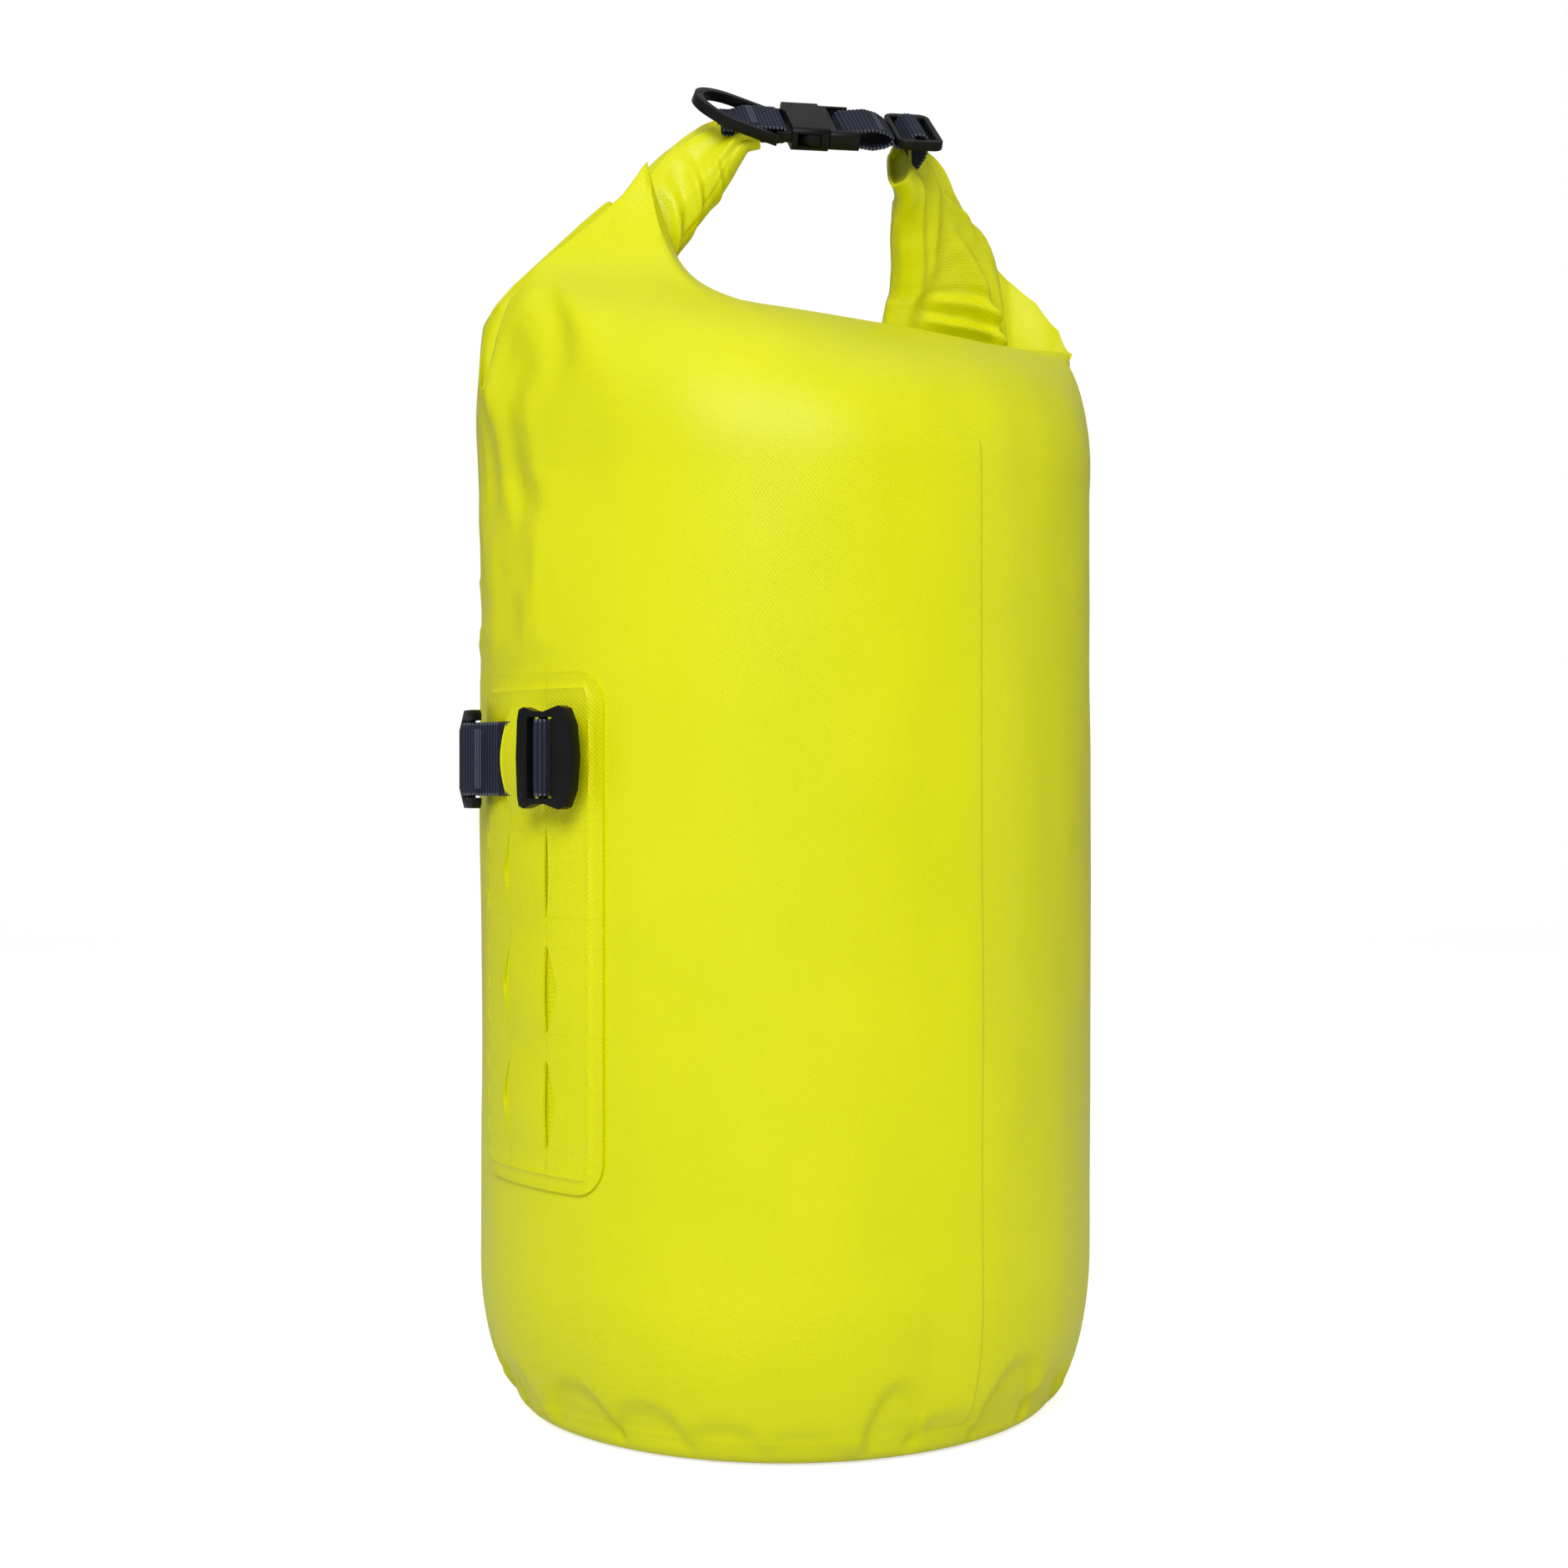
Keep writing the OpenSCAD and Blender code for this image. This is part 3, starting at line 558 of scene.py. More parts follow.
def partAt(z):
    # the part number at a height on the corner, the wall or the shoulder
    if z < bag["cornerHeight"]:
        return 1 + math.acos(1 - z / bag["cornerHeight"]) / (math.pi / 2)
    if z < bag["shoulderStart"]:
        return 2 + (z - bag["cornerHeight"]) / (bag["shoulderStart"] - bag["cornerHeight"])
    return 3 + (z - bag["shoulderStart"]) / shoulder["climb"]


partStops = [0.0, 0.93, 1.0, 2.0, 3.0, 4.0, 5.0]
rowShares = [0.0, 0.06, 0.09, 0.33, 0.62, 0.9, 1.0]


def bodyPlace(u, v):
    part = float(np.interp(v, rowShares, partStops))
    return shellPoint(2 * math.pi * u, part) * mm


bagBody = drapedGrid("bag_body", bag["columns"], bag["rows"], bodyPlace, (2 * math.pi * 0.11, 0.62))
weld(bagBody, 0.00005)
smooth(bagBody, 60)
dress(bagBody, limeFabric, "bag", "coated_fabric", "body_wall")
print("bag body:", len(bagBody.data.polygons), "faces")

# rolled mouth
roll = dict(
    centre=(0, 16.2, 374.4), lean=35.8, halfLength=79, halfWide=17.0, halfThick=7.0,
    turns=2.6, step=1.5, thickStep=0.99, wobble=0.7, around=150, along=120, flat=(0.22, 0.158), fabric=0.6,
)


def rollPlace(u, v):
    # a strip of fabric wound flat: u along the winding, v along the roll
    turnsDone = u * roll["turns"]
    angle = 2 * math.pi * turnsDone
    inwards = roll["step"] * turnsDone
    c, s = math.cos(angle), math.sin(angle)
    wide = (roll["halfWide"] - inwards) * math.copysign(abs(c) ** 0.7, c)
    thick = (roll["halfThick"] - roll["thickStep"] * inwards) * math.copysign(abs(s) ** 0.8, s)
    x = roll["centre"][0] + roll["halfLength"] * (2 * v - 1)
    wobble = roll["wobble"] * ridges(x / 33, angle / 2.4, 3.1) + 0.4 * noise.noise(Vector((x / 11, angle, 7)))
    a = math.radians(roll["lean"])
    up = Vector((0, -math.sin(a), math.cos(a)))
    through = Vector((0, math.cos(a), math.sin(a)))
    wide += wobble * abs(c)
    thick += wobble * 0.7 * abs(s)
    return (Vector((x, roll["centre"][1], roll["centre"][2])) + up * wide + through * thick) * mm


rollMiddle = drapedGrid("rolled_mouth_middle", roll["around"], roll["along"], rollPlace, roll["flat"])
applyModifier(rollMiddle, "SOLIDIFY", thickness=roll["fabric"] * mm, offset=-1)
smooth(rollMiddle, 50)
dress(rollMiddle, limeFabric, "bag", "coated_fabric", "rolled_mouth")

# where the buckle's line lies
handle = dict(at=(8, -5, 458), turn=-20, tilt=34)


def handleAxes():
    turn, tilt = math.radians(handle["turn"]), math.radians(handle["tilt"])
    x = Vector((math.cos(turn), math.sin(turn), 0))
    y = Vector((-math.sin(turn) * math.cos(tilt), math.cos(turn) * math.cos(tilt), math.sin(tilt)))
    return x, y, x.cross(y)


handleX, handleY, handleZ = handleAxes()


def onHandle(x, y, z):
    return Vector(handle["at"]) + handleX * x + handleY * y + handleZ * z


arm = dict(around=96, along=130, flat=(0.085, 0.11), rim=1.3, sunk=2.6, flap=0.7)


def armPiece(name, crumple, stations):
    # a flattened roll swept through its stations: centre, direction across, half width, half thickness
    along = arm["along"]
    rows = [[*centre, *Vector(across).normalized(), w, t] for centre, across, w, t in stations]
    rows = splineThrough(rows, along)
    centres = rows[:, 0:3]
    tangents = np.gradient(centres, axis=0)

    def place(u, v):
        k = min(int(round(v * along)), along)
        along3 = Vector(tangents[k]).normalized()
        across = Vector(rows[k, 3:6])
        through = along3.cross(across).normalized()
        across = through.cross(along3)
        a = 2 * math.pi * u
        c, s = math.cos(a), math.sin(a)
        # the tip is open: its rim turns in over the layers inside
        rim = arm["rim"] if k >= along - 1 else 0
        sunk = along3 * (-arm["sunk"] if k == along else 0)
        w = (rows[k, 6] - rim) * math.copysign(abs(c) ** 0.75, c)
        t = (rows[k, 7] - rim) * math.copysign(abs(s) ** 0.8, s)
        # the outer wrap's free edge runs along the roll as a low step
        flap = arm["flap"] * blendStep(a, 0.9, 1.0) * (1 - blendStep(a, 2.6, 2.75))
        push = crumple(v, a, Vector(centres[k])) * (1 - blendStep(v, 0.93, 1)) + flap
        outwards = math.copysign(abs(s) ** 0.5, s) if s else 0.0
        centre = Vector(centres[min(k, along - 2)]) + sunk
        return (centre + across * (w + push * c * 0.7) + through * (t + push * outwards)) * mm

    piece = drapedGrid(name, arm["around"], along, place, arm["flat"])
    weld(piece, 0.00003)
    smooth(piece, 55)
    dress(piece, limeFabric, "bag", "coated_fabric", "rolled_mouth")


def foldLine(v, a, start, end, width, height, length, girth):
    # a crest with a trough along one side, between two (v, angle) spots on an arm
    px, py = (v - start[0]) * length, (a - start[1]) * girth
    qx, qy = (end[0] - start[0]) * length, (end[1] - start[1]) * girth
    reach = qx * qx + qy * qy
    along = min(1.0, max(0.0, (px * qx + py * qy) / reach))
    off = (px * qy - py * qx) / math.sqrt(reach)
    beyond = math.hypot(px - qx * along, py - qy * along)
    shape = hump(off, 0, width) - 0.75 * hump(off, 1.7 * width, width)
    fade = hump(max(0.0, beyond - abs(off)), 0, 2.5 * width)
    return height * shape * fade * (0.55 + 0.45 * math.sin(math.pi * along))


# each fold: its two ends as (share of the arm's length, angle round it), its width and its height in mm
leftFolds = [
    ((0.55, 1.9), (0.44, 3.1), 1.9, 2.3),
    ((0.45, 1.8), (0.34, 2.9), 2.0, 2.6),
    ((0.36, 1.9), (0.26, 2.8), 2.0, 2.0),
    ((0.62, 2.5), (0.57, 3.3), 1.6, 1.6),
    ((0.96, 1.9), (0.58, 1.35), 2.2, 1.3),
    ((0.9, 2.6), (0.66, 2.3), 1.8, 1.1),
    ((0.98, 1.2), (0.7, 0.9), 2.2, 0.9),
]
rightFolds = [
    ((0.47, 4.95), (0.06, 5.65), 2.4, 3.0),
    ((0.33, 4.7), (0.26, 5.45), 1.8, 2.6),
    ((0.25, 4.55), (0.19, 5.35), 1.7, 2.6),
    ((0.17, 4.5), (0.13, 5.25), 1.6, 2.4),
    ((0.1, 4.55), (0.06, 5.1), 1.5, 2.0),
    ((1.0, 5.0), (0.5, 4.4), 2.6, 1.6),
    ((0.96, 5.6), (0.55, 5.35), 2.3, 1.4),
    ((0.85, 4.2), (0.15, 3.9), 3.2, 1.6),
    ((0.7, 5.0), (0.42, 5.9), 2.3, 1.7),
]
leftSize, rightSize = (120, 13), (92, 19)    # an arm's length and its mean radius


def leftCrumple(v, a, p):
    soft = 0.7 * ridges(3.4 * v, a * 0.9, 11) * (1 - blendStep(v, 0.55, 0.9))
    return soft + 0.2 * noise.noise(p / 6) + sum(foldLine(v, a, *fold, *leftSize) for fold in leftFolds)


def rightCrumple(v, a, p):
    soft = 0.8 * ridges(2.2 * v, 1.4 * a, 8) * hump(v, 0.6, 0.25)
    return soft + 0.2 * noise.noise(p / 6) + sum(foldLine(v, a, *fold, *rightSize) for fold in rightFolds)


armPiece("rolled_mouth_left_arm", leftCrumple, [
    ((-76, 18, 373), (-0.6, -0.1, 0.8), 13, 7),
    ((-67, 18, 392), (-0.75, 0.0, 0.66), 15, 8),
    ((-53, 15, 412), (-0.62, 0.25, 0.74), 14.5, 8),
    ((-39, 12, 431), (-0.4, 0.45, 0.8), 13.8, 7.5),
    ((-27.5, 9, 445), (-0.08, 0.7, 0.7), 13.6, 6.4),
    ((-19, 6.4, 452.6), handleY, 13.8, 5),
    ((-12.5, 4, 455.4), handleY, 13.8, 4.4),
])
armPiece("rolled_mouth_right_arm", rightCrumple, [
    ((79, 14, 372), (1, 0, 0.1), 29, 7),
    ((78.6, 13, 392), (1, 0, 0.08), 28.5, 8),
    ((74.5, 9, 412), (1, 0.08, 0.12), 25, 8.5),
    ((62, 1, 430), (0.95, 0.25, 0.2), 17, 8),
    ((52.5, -7, 442), (0.85, 0.45, 0.28), 14, 6.6),
    ((42.5, -10.5, 449), (0.7, 0.62, 0.36), 13.8, 5),
])
print("rolled mouth made")

# front weld and inner tapes
weldStrip = dict(
    middle=270.0, halfWidth=5.6, low=10.5, high=330.0, thick=0.55, sunk=0.12, clear=0.02,
    around=40, along=160, flat=(0.0215, 0.32), fabric=0.4,
)


def weldPlace(u, v):
    angle = math.radians(weldStrip["middle"] + weldStrip["halfWidth"] * (2 * u - 1))
    z = weldStrip["low"] + (weldStrip["high"] - weldStrip["low"]) * v
    rise = weldStrip["thick"] * blendStep(u, 0.05, 0.9) * (1 - blendStep(u, 0.965, 1.0))
    sunk = weldStrip["sunk"] * (1 - blendStep(u, 0, 0.1))    # the hidden edge melts into the wall
    return shellPoint(angle, partAt(z), rise - sunk + weldStrip["clear"]) * mm


frontWeld = drapedGrid("front_weld", weldStrip["around"], weldStrip["along"], weldPlace, weldStrip["flat"])
applyModifier(frontWeld, "SOLIDIFY", thickness=weldStrip["fabric"] * mm, offset=-1)
smooth(frontWeld, 40)
dress(frontWeld, limeWeld, "bag", "welded_overlap", "side_weld")

# each lining: height range, angle range in degrees, how far inside the wall, thickness, in mm
linings = dict(
    basePanel=dict(top=14, inside=2.2, thick=0.9),
    baseTape=dict(low=17, high=35, inside=1.9, thick=0.5),
    seamTape=dict(low=53, high=321, start=264.4, sweep=11.2, inside=1.9, thick=0.5),
)


def liningPiece(name, node, slot, around, along, place, thick):
    piece = drapedGrid(name, around, along, place)
    weld(piece, 0.00003, cap=False)
    applyModifier(piece, "SOLIDIFY", thickness=thick * mm, offset=0)
    smooth(piece, 40)
    dress(piece, limeLining, "bag", slot, node)


def basePanelPlace(u, v):
    lining = linings["basePanel"]
    return shellPoint(2 * math.pi * u, v * partAt(lining["top"]), -lining["inside"]) * mm


def baseTapePlace(u, v):
    lining = linings["baseTape"]
    z = lining["low"] + (lining["high"] - lining["low"]) * v
    return shellPoint(2 * math.pi * u, partAt(z), -lining["inside"]) * mm


def seamTapePlace(u, v):
    lining = linings["seamTape"]
    z = lining["low"] + (lining["high"] - lining["low"]) * v
    angle = math.radians(lining["start"] + lining["sweep"] * u)
    return shellPoint(angle, partAt(z), -lining["inside"]) * mm


liningPiece("base_panel_inside", "base_panel", "coated_fabric", 160, 40, basePanelPlace,
            linings["basePanel"]["thick"])
liningPiece("base_seam_tape_inside", "base_seam_tape", "seam_tape", 160, 8, baseTapePlace,
            linings["baseTape"]["thick"])
liningPiece("seam_tape_inside", "inner_seam_tape", "seam_tape", 12, 60, seamTapePlace,
            linings["seamTape"]["thick"])
print("weld and linings made")

# lash panel
panel = dict(turn=189.5, halfWide=35.84, height=170.0, middle=170.5, corner=12.0, margin=4.8, radius=110.1,
             thick=1.0, marginThick=0.55, stripHalf=10.65, slotHalf=14.25, undercut=3.0,
             sunk=0.4, floor=0.12, seam=0.3, reach=1.25, webThick=0.9, columnStep=0.9, lipHeight=0.25)
rowHeights = [113.5, 151.5, 189.5, 227.5]
# gape on the rear and on the front side of the strip, and the strip's rise, row by row
rowGapes = [(5.4, 4.6, 1.1), (5.4, 5.4, 1.2), (4.4, 1.2, 0.9), (3.0, 3.0, 4.0)]


def panelColumns():
    # the columns from the patch's edge to its middle: what each is, and where it stands in that part
    half = [("edge", 0.0), ("edge", 0.03)] + [("field", k / 22) for k in range(23)]
    half += [("wall", 0), ("floor", 0), ("floor", 1), ("under", 0), ("under", 1), ("lip", 0)]
    half += [("strip", k / 14) for k in range(15)]
    return half


def nearestRow(z):
    index = min(range(len(rowHeights)), key=lambda k: abs(rowHeights[k] - z))
    return index, (z - rowHeights[index]) / panel["slotHalf"]


def levelAt(depth):
    # height of the patch above the wall, by the distance from its edge
    step = blendStep(depth, panel["margin"] - 0.7, panel["margin"] + 0.5)
    level = panel["marginThick"] + (panel["thick"] - panel["marginThick"]) * step
    return level + panel["lipHeight"] * hump(depth, panel["margin"] + 0.6, 0.6)


def outerEdge(fromEnd):
    # half width of the patch, less where its corners are rounded
    corner = panel["corner"]
    pulled = corner - math.sqrt(max(0.0, corner ** 2 - max(0.0, corner - fromEnd) ** 2))
    return panel["halfWide"] - pulled


def closedSpot(kind, share, level):
    # between the slots the columns of the cut lie closed beside each other
    beside = dict(wall=0.3, floor=0.25, under=0.15, lip=0.05)[kind]
    return panel["stripHalf"] + beside - (0.05 * share if kind in ("floor", "under") else 0), level


def openSpot(kind, share, level, inner, rise, lifted):
    # beside a slot: the field's cut wall, the bag's wall below, the strip's underside and its edge
    half, deep = panel["stripHalf"], panel["stripHalf"] - panel["undercut"]
    under = max(rise + level - panel["webThick"], 0.2)
    if kind == "wall":
        return inner, level + lifted
    if kind == "floor":
        return (inner - 0.03 if share == 0 else deep), panel["floor"]
    if kind == "under":
        return (deep if share == 0 else half - 0.02), under
    return half, rise + level


def panelSpot(kind, share, side, z):
    # arc position from the panel's middle and height above the wall, for one column at height z
    index, off = nearestRow(z)
    rear, front, strip = rowGapes[index]
    inside = abs(off) < 1
    lens = (rear if side < 0 else front) * max(0.0, 1 - abs(off)) ** 0.8
    rise = strip * max(0.0, 1 - (off / panel["reach"]) ** 2) ** 1.3
    fromEnd = panel["height"] / 2 - abs(z - panel["middle"])
    outer, inner = outerEdge(fromEnd), panel["stripHalf"] + panel["seam"] + lens
    level = levelAt(fromEnd)
    lifted = 0.25 * max(0.0, 1 - abs(off)) * lens / 5
    if kind == "edge":
        return outer - share, (-panel["sunk"] if share == 0 else panel["marginThick"])
    if kind == "field":
        s = (outer - 0.1) + (inner + 0.1 - outer + 0.1) * share
        return s, levelAt(min(outer - s, fromEnd)) + lifted * hump(share, 1, 0.12)
    if kind == "strip":
        s = panel["stripHalf"] * (1 - share)
        bow = rise * (1 - 0.12 * (s / panel["stripHalf"]) ** 2)
        return s - (0.1 if s > 0.2 else 0), level + bow
    if inside:
        return openSpot(kind, share, level, inner, rise, lifted)
    return closedSpot(kind, share, level)


panelHalf = panelColumns()
panelAcross = [(-1, *column) for column in panelHalf] + [(1, *column) for column in reversed(panelHalf[:-1])]
lowEnd, highEnd = panel["middle"] - panel["height"] / 2, panel["middle"] + panel["height"] / 2
zStops = [lowEnd + k * panel["columnStep"] for k in range(int(panel["height"] / panel["columnStep"]) + 1)]
zStops += [z + s * (panel["slotHalf"] + d) for z in rowHeights for s in (-1, 1) for d in (-0.03, 0.03)]
for nearEnd in (0.1, 0.3, 0.6, 1.2, 2):
    zStops += [lowEnd + nearEnd, highEnd - nearEnd]
zStops = sorted(set([round(z, 3) for z in zStops] + [highEnd]))


def nearest(stops, share):
    return stops[int(round(share * (len(stops) - 1)))]


def panelPlace(u, v):
    side, kind, share = nearest(panelAcross, u)
    z = nearest(zStops, v)
    s, h = panelSpot(kind, share, side, z)
    if z in (lowEnd, highEnd):
        h = -panel["sunk"]
    angle = math.radians(panel["turn"]) + side * s / (panel["radius"] + 1)
    r = panel["radius"] + h
    return Vector((r * math.cos(angle), r * math.sin(angle), z)) * mm


lashPanel = drapedGrid("lash_panel_patch", len(panelAcross) - 1, len(zStops) - 1, panelPlace, (0.0717, 0.17))
applyModifier(lashPanel, "SOLIDIFY", thickness=0.0002, offset=-1)
smooth(lashPanel, 38)
dress(lashPanel, limePanel, "bag", "panel_fabric", "lash_panel")
print("lash panel:", len(lashPanel.data.polygons), "faces")


# webbing
webbing = dict(width=25.0, thick=1.35, pick=1.4, barRadius=1.6, clear=0.25, facets=8, step=0.26,
               tooth=0.35, ribDepth=0.16, edgeThick=0.55)


def evenSteps(path, step):
    # points at even steps along a path, its corners eased; also the path's length
    rows = np.array(path, float)
    lengths = np.concatenate([[0], np.cumsum(np.linalg.norm(np.diff(rows, axis=0), axis=1))])
    total = lengths[-1]
    stops = [total * k / int(total / step) for k in range(int(total / step) + 1)]
    spots = np.array([[np.interp(stop, lengths, rows[:, axis]) for axis in range(3)] for stop in stops])
    for _ in range(4):
        spots[1:-1] = (spots[:-2] + 2 * spots[1:-1] + spots[2:]) / 4
    return spots, total


def strapPiece(name, path, widthDir, *replaced):
    # a woven strap along a path in mm, with its ribs and its toothed edges as real shape
    spots, total = evenSteps(path, webbing["step"])
    count = len(spots) - 1
    wide = Vector(widthDir).normalized()
    tangents = np.gradient(spots, axis=0)
    shares = [-1 + 2 * k / webbing["facets"] for k in range(webbing["facets"] + 1)]
    corners = [(across, 1) for across in shares] + [(-across, -1) for across in shares] + [(shares[0], 1)]
    half, thick = webbing["width"] / 2, webbing["thick"] / 2

    def place(u, v):
        k = min(int(round(v * count)), count)
        across, face = nearest(corners, u)
        rib = abs(math.sin(math.pi * total * k / count / webbing["pick"]))
        out = Vector(tangents[k]).cross(wide).normalized()
        edge = abs(across) > 0.99
        w = across * (half - (webbing["tooth"] * (1 - rib) if edge else 0.1))
        t = face * (thick * (webbing["edgeThick"] if edge else 1) - webbing["ribDepth"] * (1 - rib))
        return (Vector(spots[k]) + wide * w + out * t) * mm

    piece = drapedGrid(name, len(corners) - 1, count, place)
    layer = piece.data.uv_layers[0].data
    for loop in piece.data.loops:
        u, v = layer[loop.index].uv
        layer[loop.index].uv = (v * total * mm, (nearest(corners, u)[0] + 1) / 2 * webbing["width"] * mm)
    weld(piece, 0.00001)
    smooth(piece, 60)
    dress(piece, navyWebbing, "bag", "webbing", *replaced)
    return piece


def arcAround(centre, radius, start, end, steps=14):
    angles = [math.radians(start + (end - start) * k / steps) for k in range(steps + 1)]
    return [(centre[0] + radius * math.cos(a), centre[1] + radius * math.sin(a)) for a in angles]


wrapRadius = webbing["barRadius"] + webbing["clear"] + webbing["thick"] / 2


def handlePath(points):
    return [tuple(onHandle(x, 0, z)) for x, z in points]


# places along the buckle's line: the bars that carry the webbing; the two layers lie close at the arms
tabs = dict(socketBar=(-12.9, 0), plugBar=(12.6, 0), layersApart=0.75)

leftLoop = [(-34, tabs["layersApart"]), (-28.5, tabs["layersApart"]), (-24, wrapRadius)]
leftLoop += arcAround(tabs["socketBar"], wrapRadius, 90, -90)
leftLoop += [(-24, -wrapRadius), (-28.5, -tabs["layersApart"]), (-34, -tabs["layersApart"])]
strapPiece("left_tab_strap", handlePath(leftLoop), handleY, "left_tab_webbing")

rightLoop = [(28.6, tabs["layersApart"]), (25.5, 2.5), (21, 3.5), (17, 3.0)]
rightLoop += arcAround(tabs["plugBar"], wrapRadius, 90, 270)
rightLoop += [(17, -3.0), (21, -3.5), (25.5, -2.5), (28.6, -tabs["layersApart"])]
slackLoop = strapPiece("right_tab_strap", handlePath(rightLoop), handleY, "right_tab_webbing")
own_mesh(slackLoop)

# through the slider, over its bar and down into the right arm
sliderTail = [(27.8, 0.2), (29, -2.2), (32.2, -2.7), (34, -0.2), (35.6, 2.5), (37.9, 2.75), (40.2, 2.4),
              (41.5, -1.8), (40.6, -5.5), (38.3, -10)]
strapPiece("right_tab_tail", handlePath(sliderTail), handleY)


def tangentLoop(bar, slit, radius, side):
    # from the slit round the bar and back, in (arc, radius) coordinates
    dx, dy = bar[0] - slit[0], bar[1] - slit[1]
    distance = math.hypot(dx, dy)
    base = math.degrees(math.atan2(dy, dx)) + 180
    spread = math.degrees(math.acos(min(1, radius / distance)))
    start = base - side * spread
    return arcAround(bar, radius, start, start + side * (2 * spread - 360), 22)


def onWall(points, z):
    result = []
    for s, r in points:
        angle = math.radians(panel["turn"]) + s / (bag["radius"] + 1)
        result.append((r * math.cos(angle), r * math.sin(angle), z))
    return result


# (arc, radius) places on the wall: the two bars, the slits, and the layers under the strip
lash = dict(lockBar=(17.4, 118.2), ringBar=(-33.0, 116.8), slit=(11.6, 111.7), under=110.95, over=112.35)

lashPath = [(4, lash["over"]), (8, lash["over"]), (11.3, 112.5)]
lashPath += tangentLoop(lash["lockBar"], lash["slit"], wrapRadius, -1)
lashPath += [(11.6, 111.2), (8, lash["under"]), (0, lash["under"]), (-8, lash["under"]), (-11.6, 111.2)]
lashPath += tangentLoop(lash["ringBar"], (-lash["slit"][0], lash["slit"][1]), wrapRadius, -1)
lashPath += [(-11.3, 112.6), (-8, lash["over"]), (-4, lash["over"])]
strapPiece("lash_strap", onWall(lashPath, rowHeights[3]), (0, 0, 1), "lash_webbing")
print("webbing made")


# moulded pieces
def softenedCopy(node, body, width):
    # the frame's own shape with its edges rounded over
    source = frame["nodes"][node]
    piece = bpy.data.objects.new(node + "_moulded", source.data.copy())
    bpy.context.collection.objects.link(piece)
    inEditMode(
        piece,
        lambda: bpy.ops.mesh.remove_doubles(threshold=0.000002),
        lambda: bpy.ops.mesh.dissolve_limited(angle_limit=math.radians(2)),
        lambda: bpy.ops.mesh.normals_make_consistent(inside=False),
    )
    applyModifier(piece, "BEVEL", width=width * mm, segments=2, limit_method="ANGLE",
                  angle_limit=math.radians(38), use_clamp_overlap=True)
    smooth(piece, 38)
    dress(piece, blackPlastic, body, "black_plastic", node)


# frame node, the body it moves with, the width of its rounded edges in mm
for node, body, width in (
    ("hanging_ring", "hanging_ring", 1.0),
    ("buckle_socket", "bag", 0.7),
    ("buckle_plug", "buckle_plug", 0.6),
    ("near_prong", "near_prong", 0.4),
    ("far_prong", "far_prong", 0.4),
    ("strap_slider", "bag", 0.9),
    ("lash_ring", "lash_ring", 0.8),
    ("ladder_lock", "ladder_lock", 0.9),
):
    softenedCopy(node, body, width)
print("moulded pieces made")

# pieces that keep the frame's own shape
for node, finish in (
    ("mouth_stiffener", stiffPlastic),
    ("lash_stitching", navyThread),
    ("left_tab_stitching", navyThread),
    ("right_tab_stitching", navyThread),
):
    target = frame["nodes"][node]
    target.data.materials.clear()
    target.data.materials.append(finish)

# studio
studio = dict(
    floorColour=(0.8, 0.8, 0.8), glow=0.7, wide=12.0, depth=6.0, wallHeight=4.0, bend=1.2, nearEdge=2.6,
    below=0.0003, turn=-30.0, air=0.2,
)


def backdropPlace(u, v):
    # a floor that curves up behind the object, square to the camera
    run = v * (studio["depth"] + studio["wallHeight"])
    flat = studio["depth"] - studio["bend"]
    y, z = run - studio["nearEdge"], 0.0
    if run > flat:
        turn = min(math.pi / 2, (run - flat) / studio["bend"])
        y = flat - studio["nearEdge"] + studio["bend"] * math.sin(turn)
        z = studio["bend"] * (1 - math.cos(turn)) + max(0, run - flat - studio["bend"] * math.pi / 2)
    x = (u - 0.5) * studio["wide"]
    a = math.radians(studio["turn"])
    c, s = math.cos(a), math.sin(a)
    return Vector((x * c - y * s, x * s + y * c, z - studio["below"]))


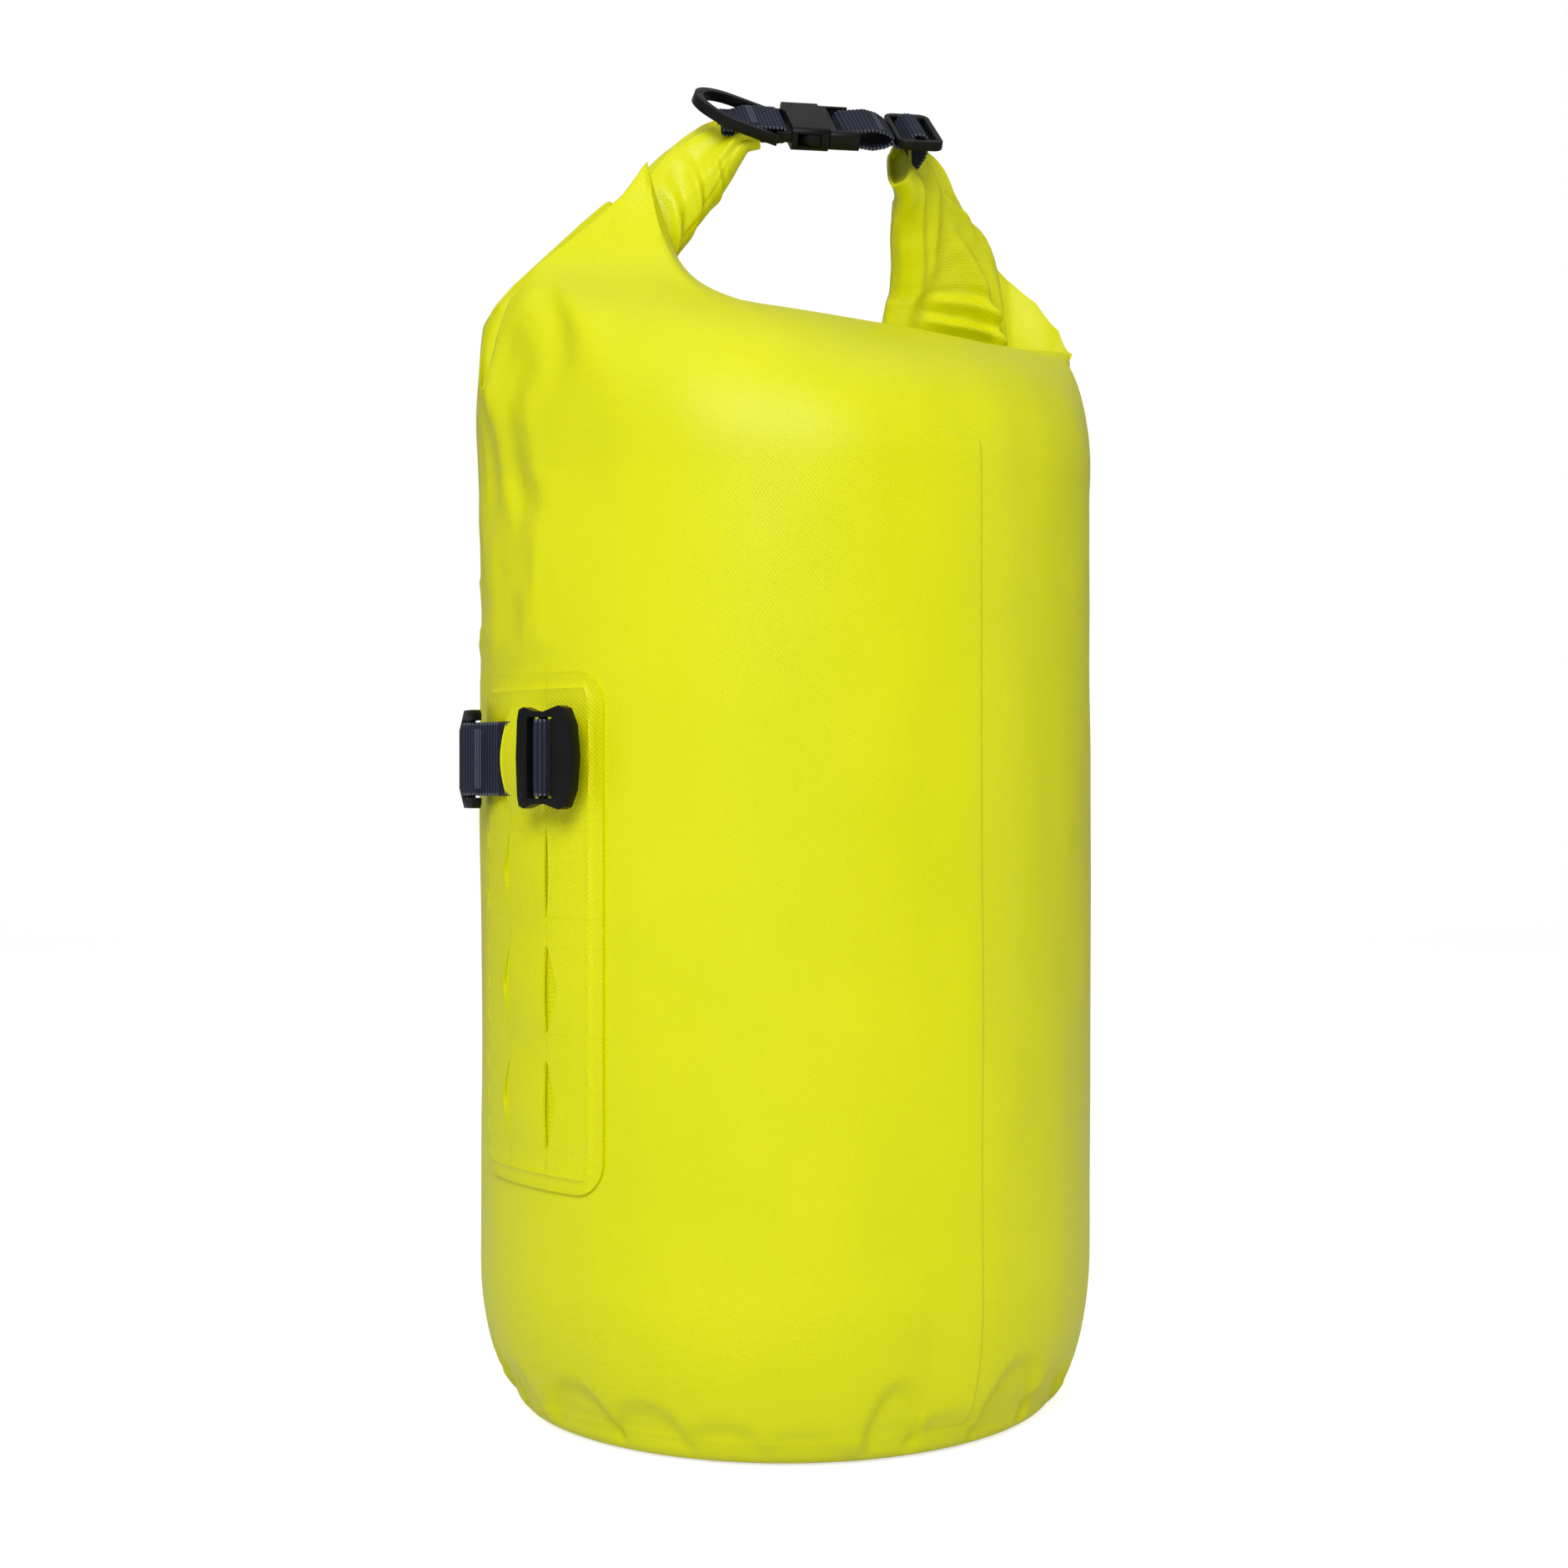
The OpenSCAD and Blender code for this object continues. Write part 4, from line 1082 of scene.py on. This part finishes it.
backdrop = drapedGrid("studio_floor", 4, 90, backdropPlace)
smooth(backdrop, 60)
floorFinish, floorNodes, floorLinks = newMaterial("studio_floor_white")
floorNodes["Principled BSDF"].inputs["Base Color"].default_value = (*studio["floorColour"], 1)
floorNodes["Principled BSDF"].inputs["Roughness"].default_value = 0.9
seenDirectly = floorNodes.new("ShaderNodeLightPath")    # the glow is for the view only
floorLinks.new(seenDirectly.outputs["Is Camera Ray"], floorNodes["Principled BSDF"].inputs["Emission Color"])
floorNodes["Principled BSDF"].inputs["Emission Strength"].default_value = studio["glow"]
backdrop.data.materials.append(floorFinish)


def softLight(name, place, aim, size, power):
    data = bpy.data.lights.new(name, "AREA")
    data.shape = "RECTANGLE"
    data.size, data.size_y = size
    data.energy = power
    light = bpy.data.objects.new(name, data)
    bpy.context.collection.objects.link(light)
    light.location = place
    light.rotation_euler = (Vector(aim) - Vector(place)).to_track_quat("-Z", "Y").to_euler()


def fromCamera(right, towards, up):
    # a place given to the right of the subject, towards the camera, and up, in metres
    c, s = 0.866, 0.5    # cosine and sine of the studio's turn
    return (c * right - s * towards, -s * right - c * towards, up)


# name, place, aim, size in metres, power in watts
softLight("left_softbox", fromCamera(-1.5, 0.5, 0.8), (0, 0, 0.24), (0.9, 1.8), 2)
softLight("right_softbox", fromCamera(1.6, 0.2, 0.7), (0, 0, 0.24), (0.7, 1.8), 3)
softLight("front_fill", fromCamera(-0.25, 2.2, 1.7), (0, 0, 0.2), (1.8, 1.2), 53)
softLight("overhead", fromCamera(0, -0.2, 2.4), (0, 0, 0.2), (2.4, 2.0), 8)

bpy.context.scene.view_settings.view_transform = "Standard"
world = bpy.data.worlds.new("studio_air")
bpy.context.scene.world = world
world.use_nodes = True
world.node_tree.nodes["Background"].inputs["Color"].default_value = (1, 1, 1, 1)
world.node_tree.nodes["Background"].inputs["Strength"].default_value = studio["air"]

view = dict(place=(-0.400, -0.693, 0.219), turn=studio["turn"], lens=50.5, sensor=36, shift=-0.001)
cameraData = bpy.data.cameras.new("view_camera")
cameraData.lens = view["lens"]
cameraData.sensor_width = view["sensor"]
cameraData.shift_x = view["shift"]
camera = bpy.data.objects.new("view_camera", cameraData)
bpy.context.collection.objects.link(camera)
camera.location = view["place"]
camera.rotation_euler = (math.pi / 2, 0, math.radians(view["turn"]))
bpy.context.scene.camera = camera

print("scene ready")
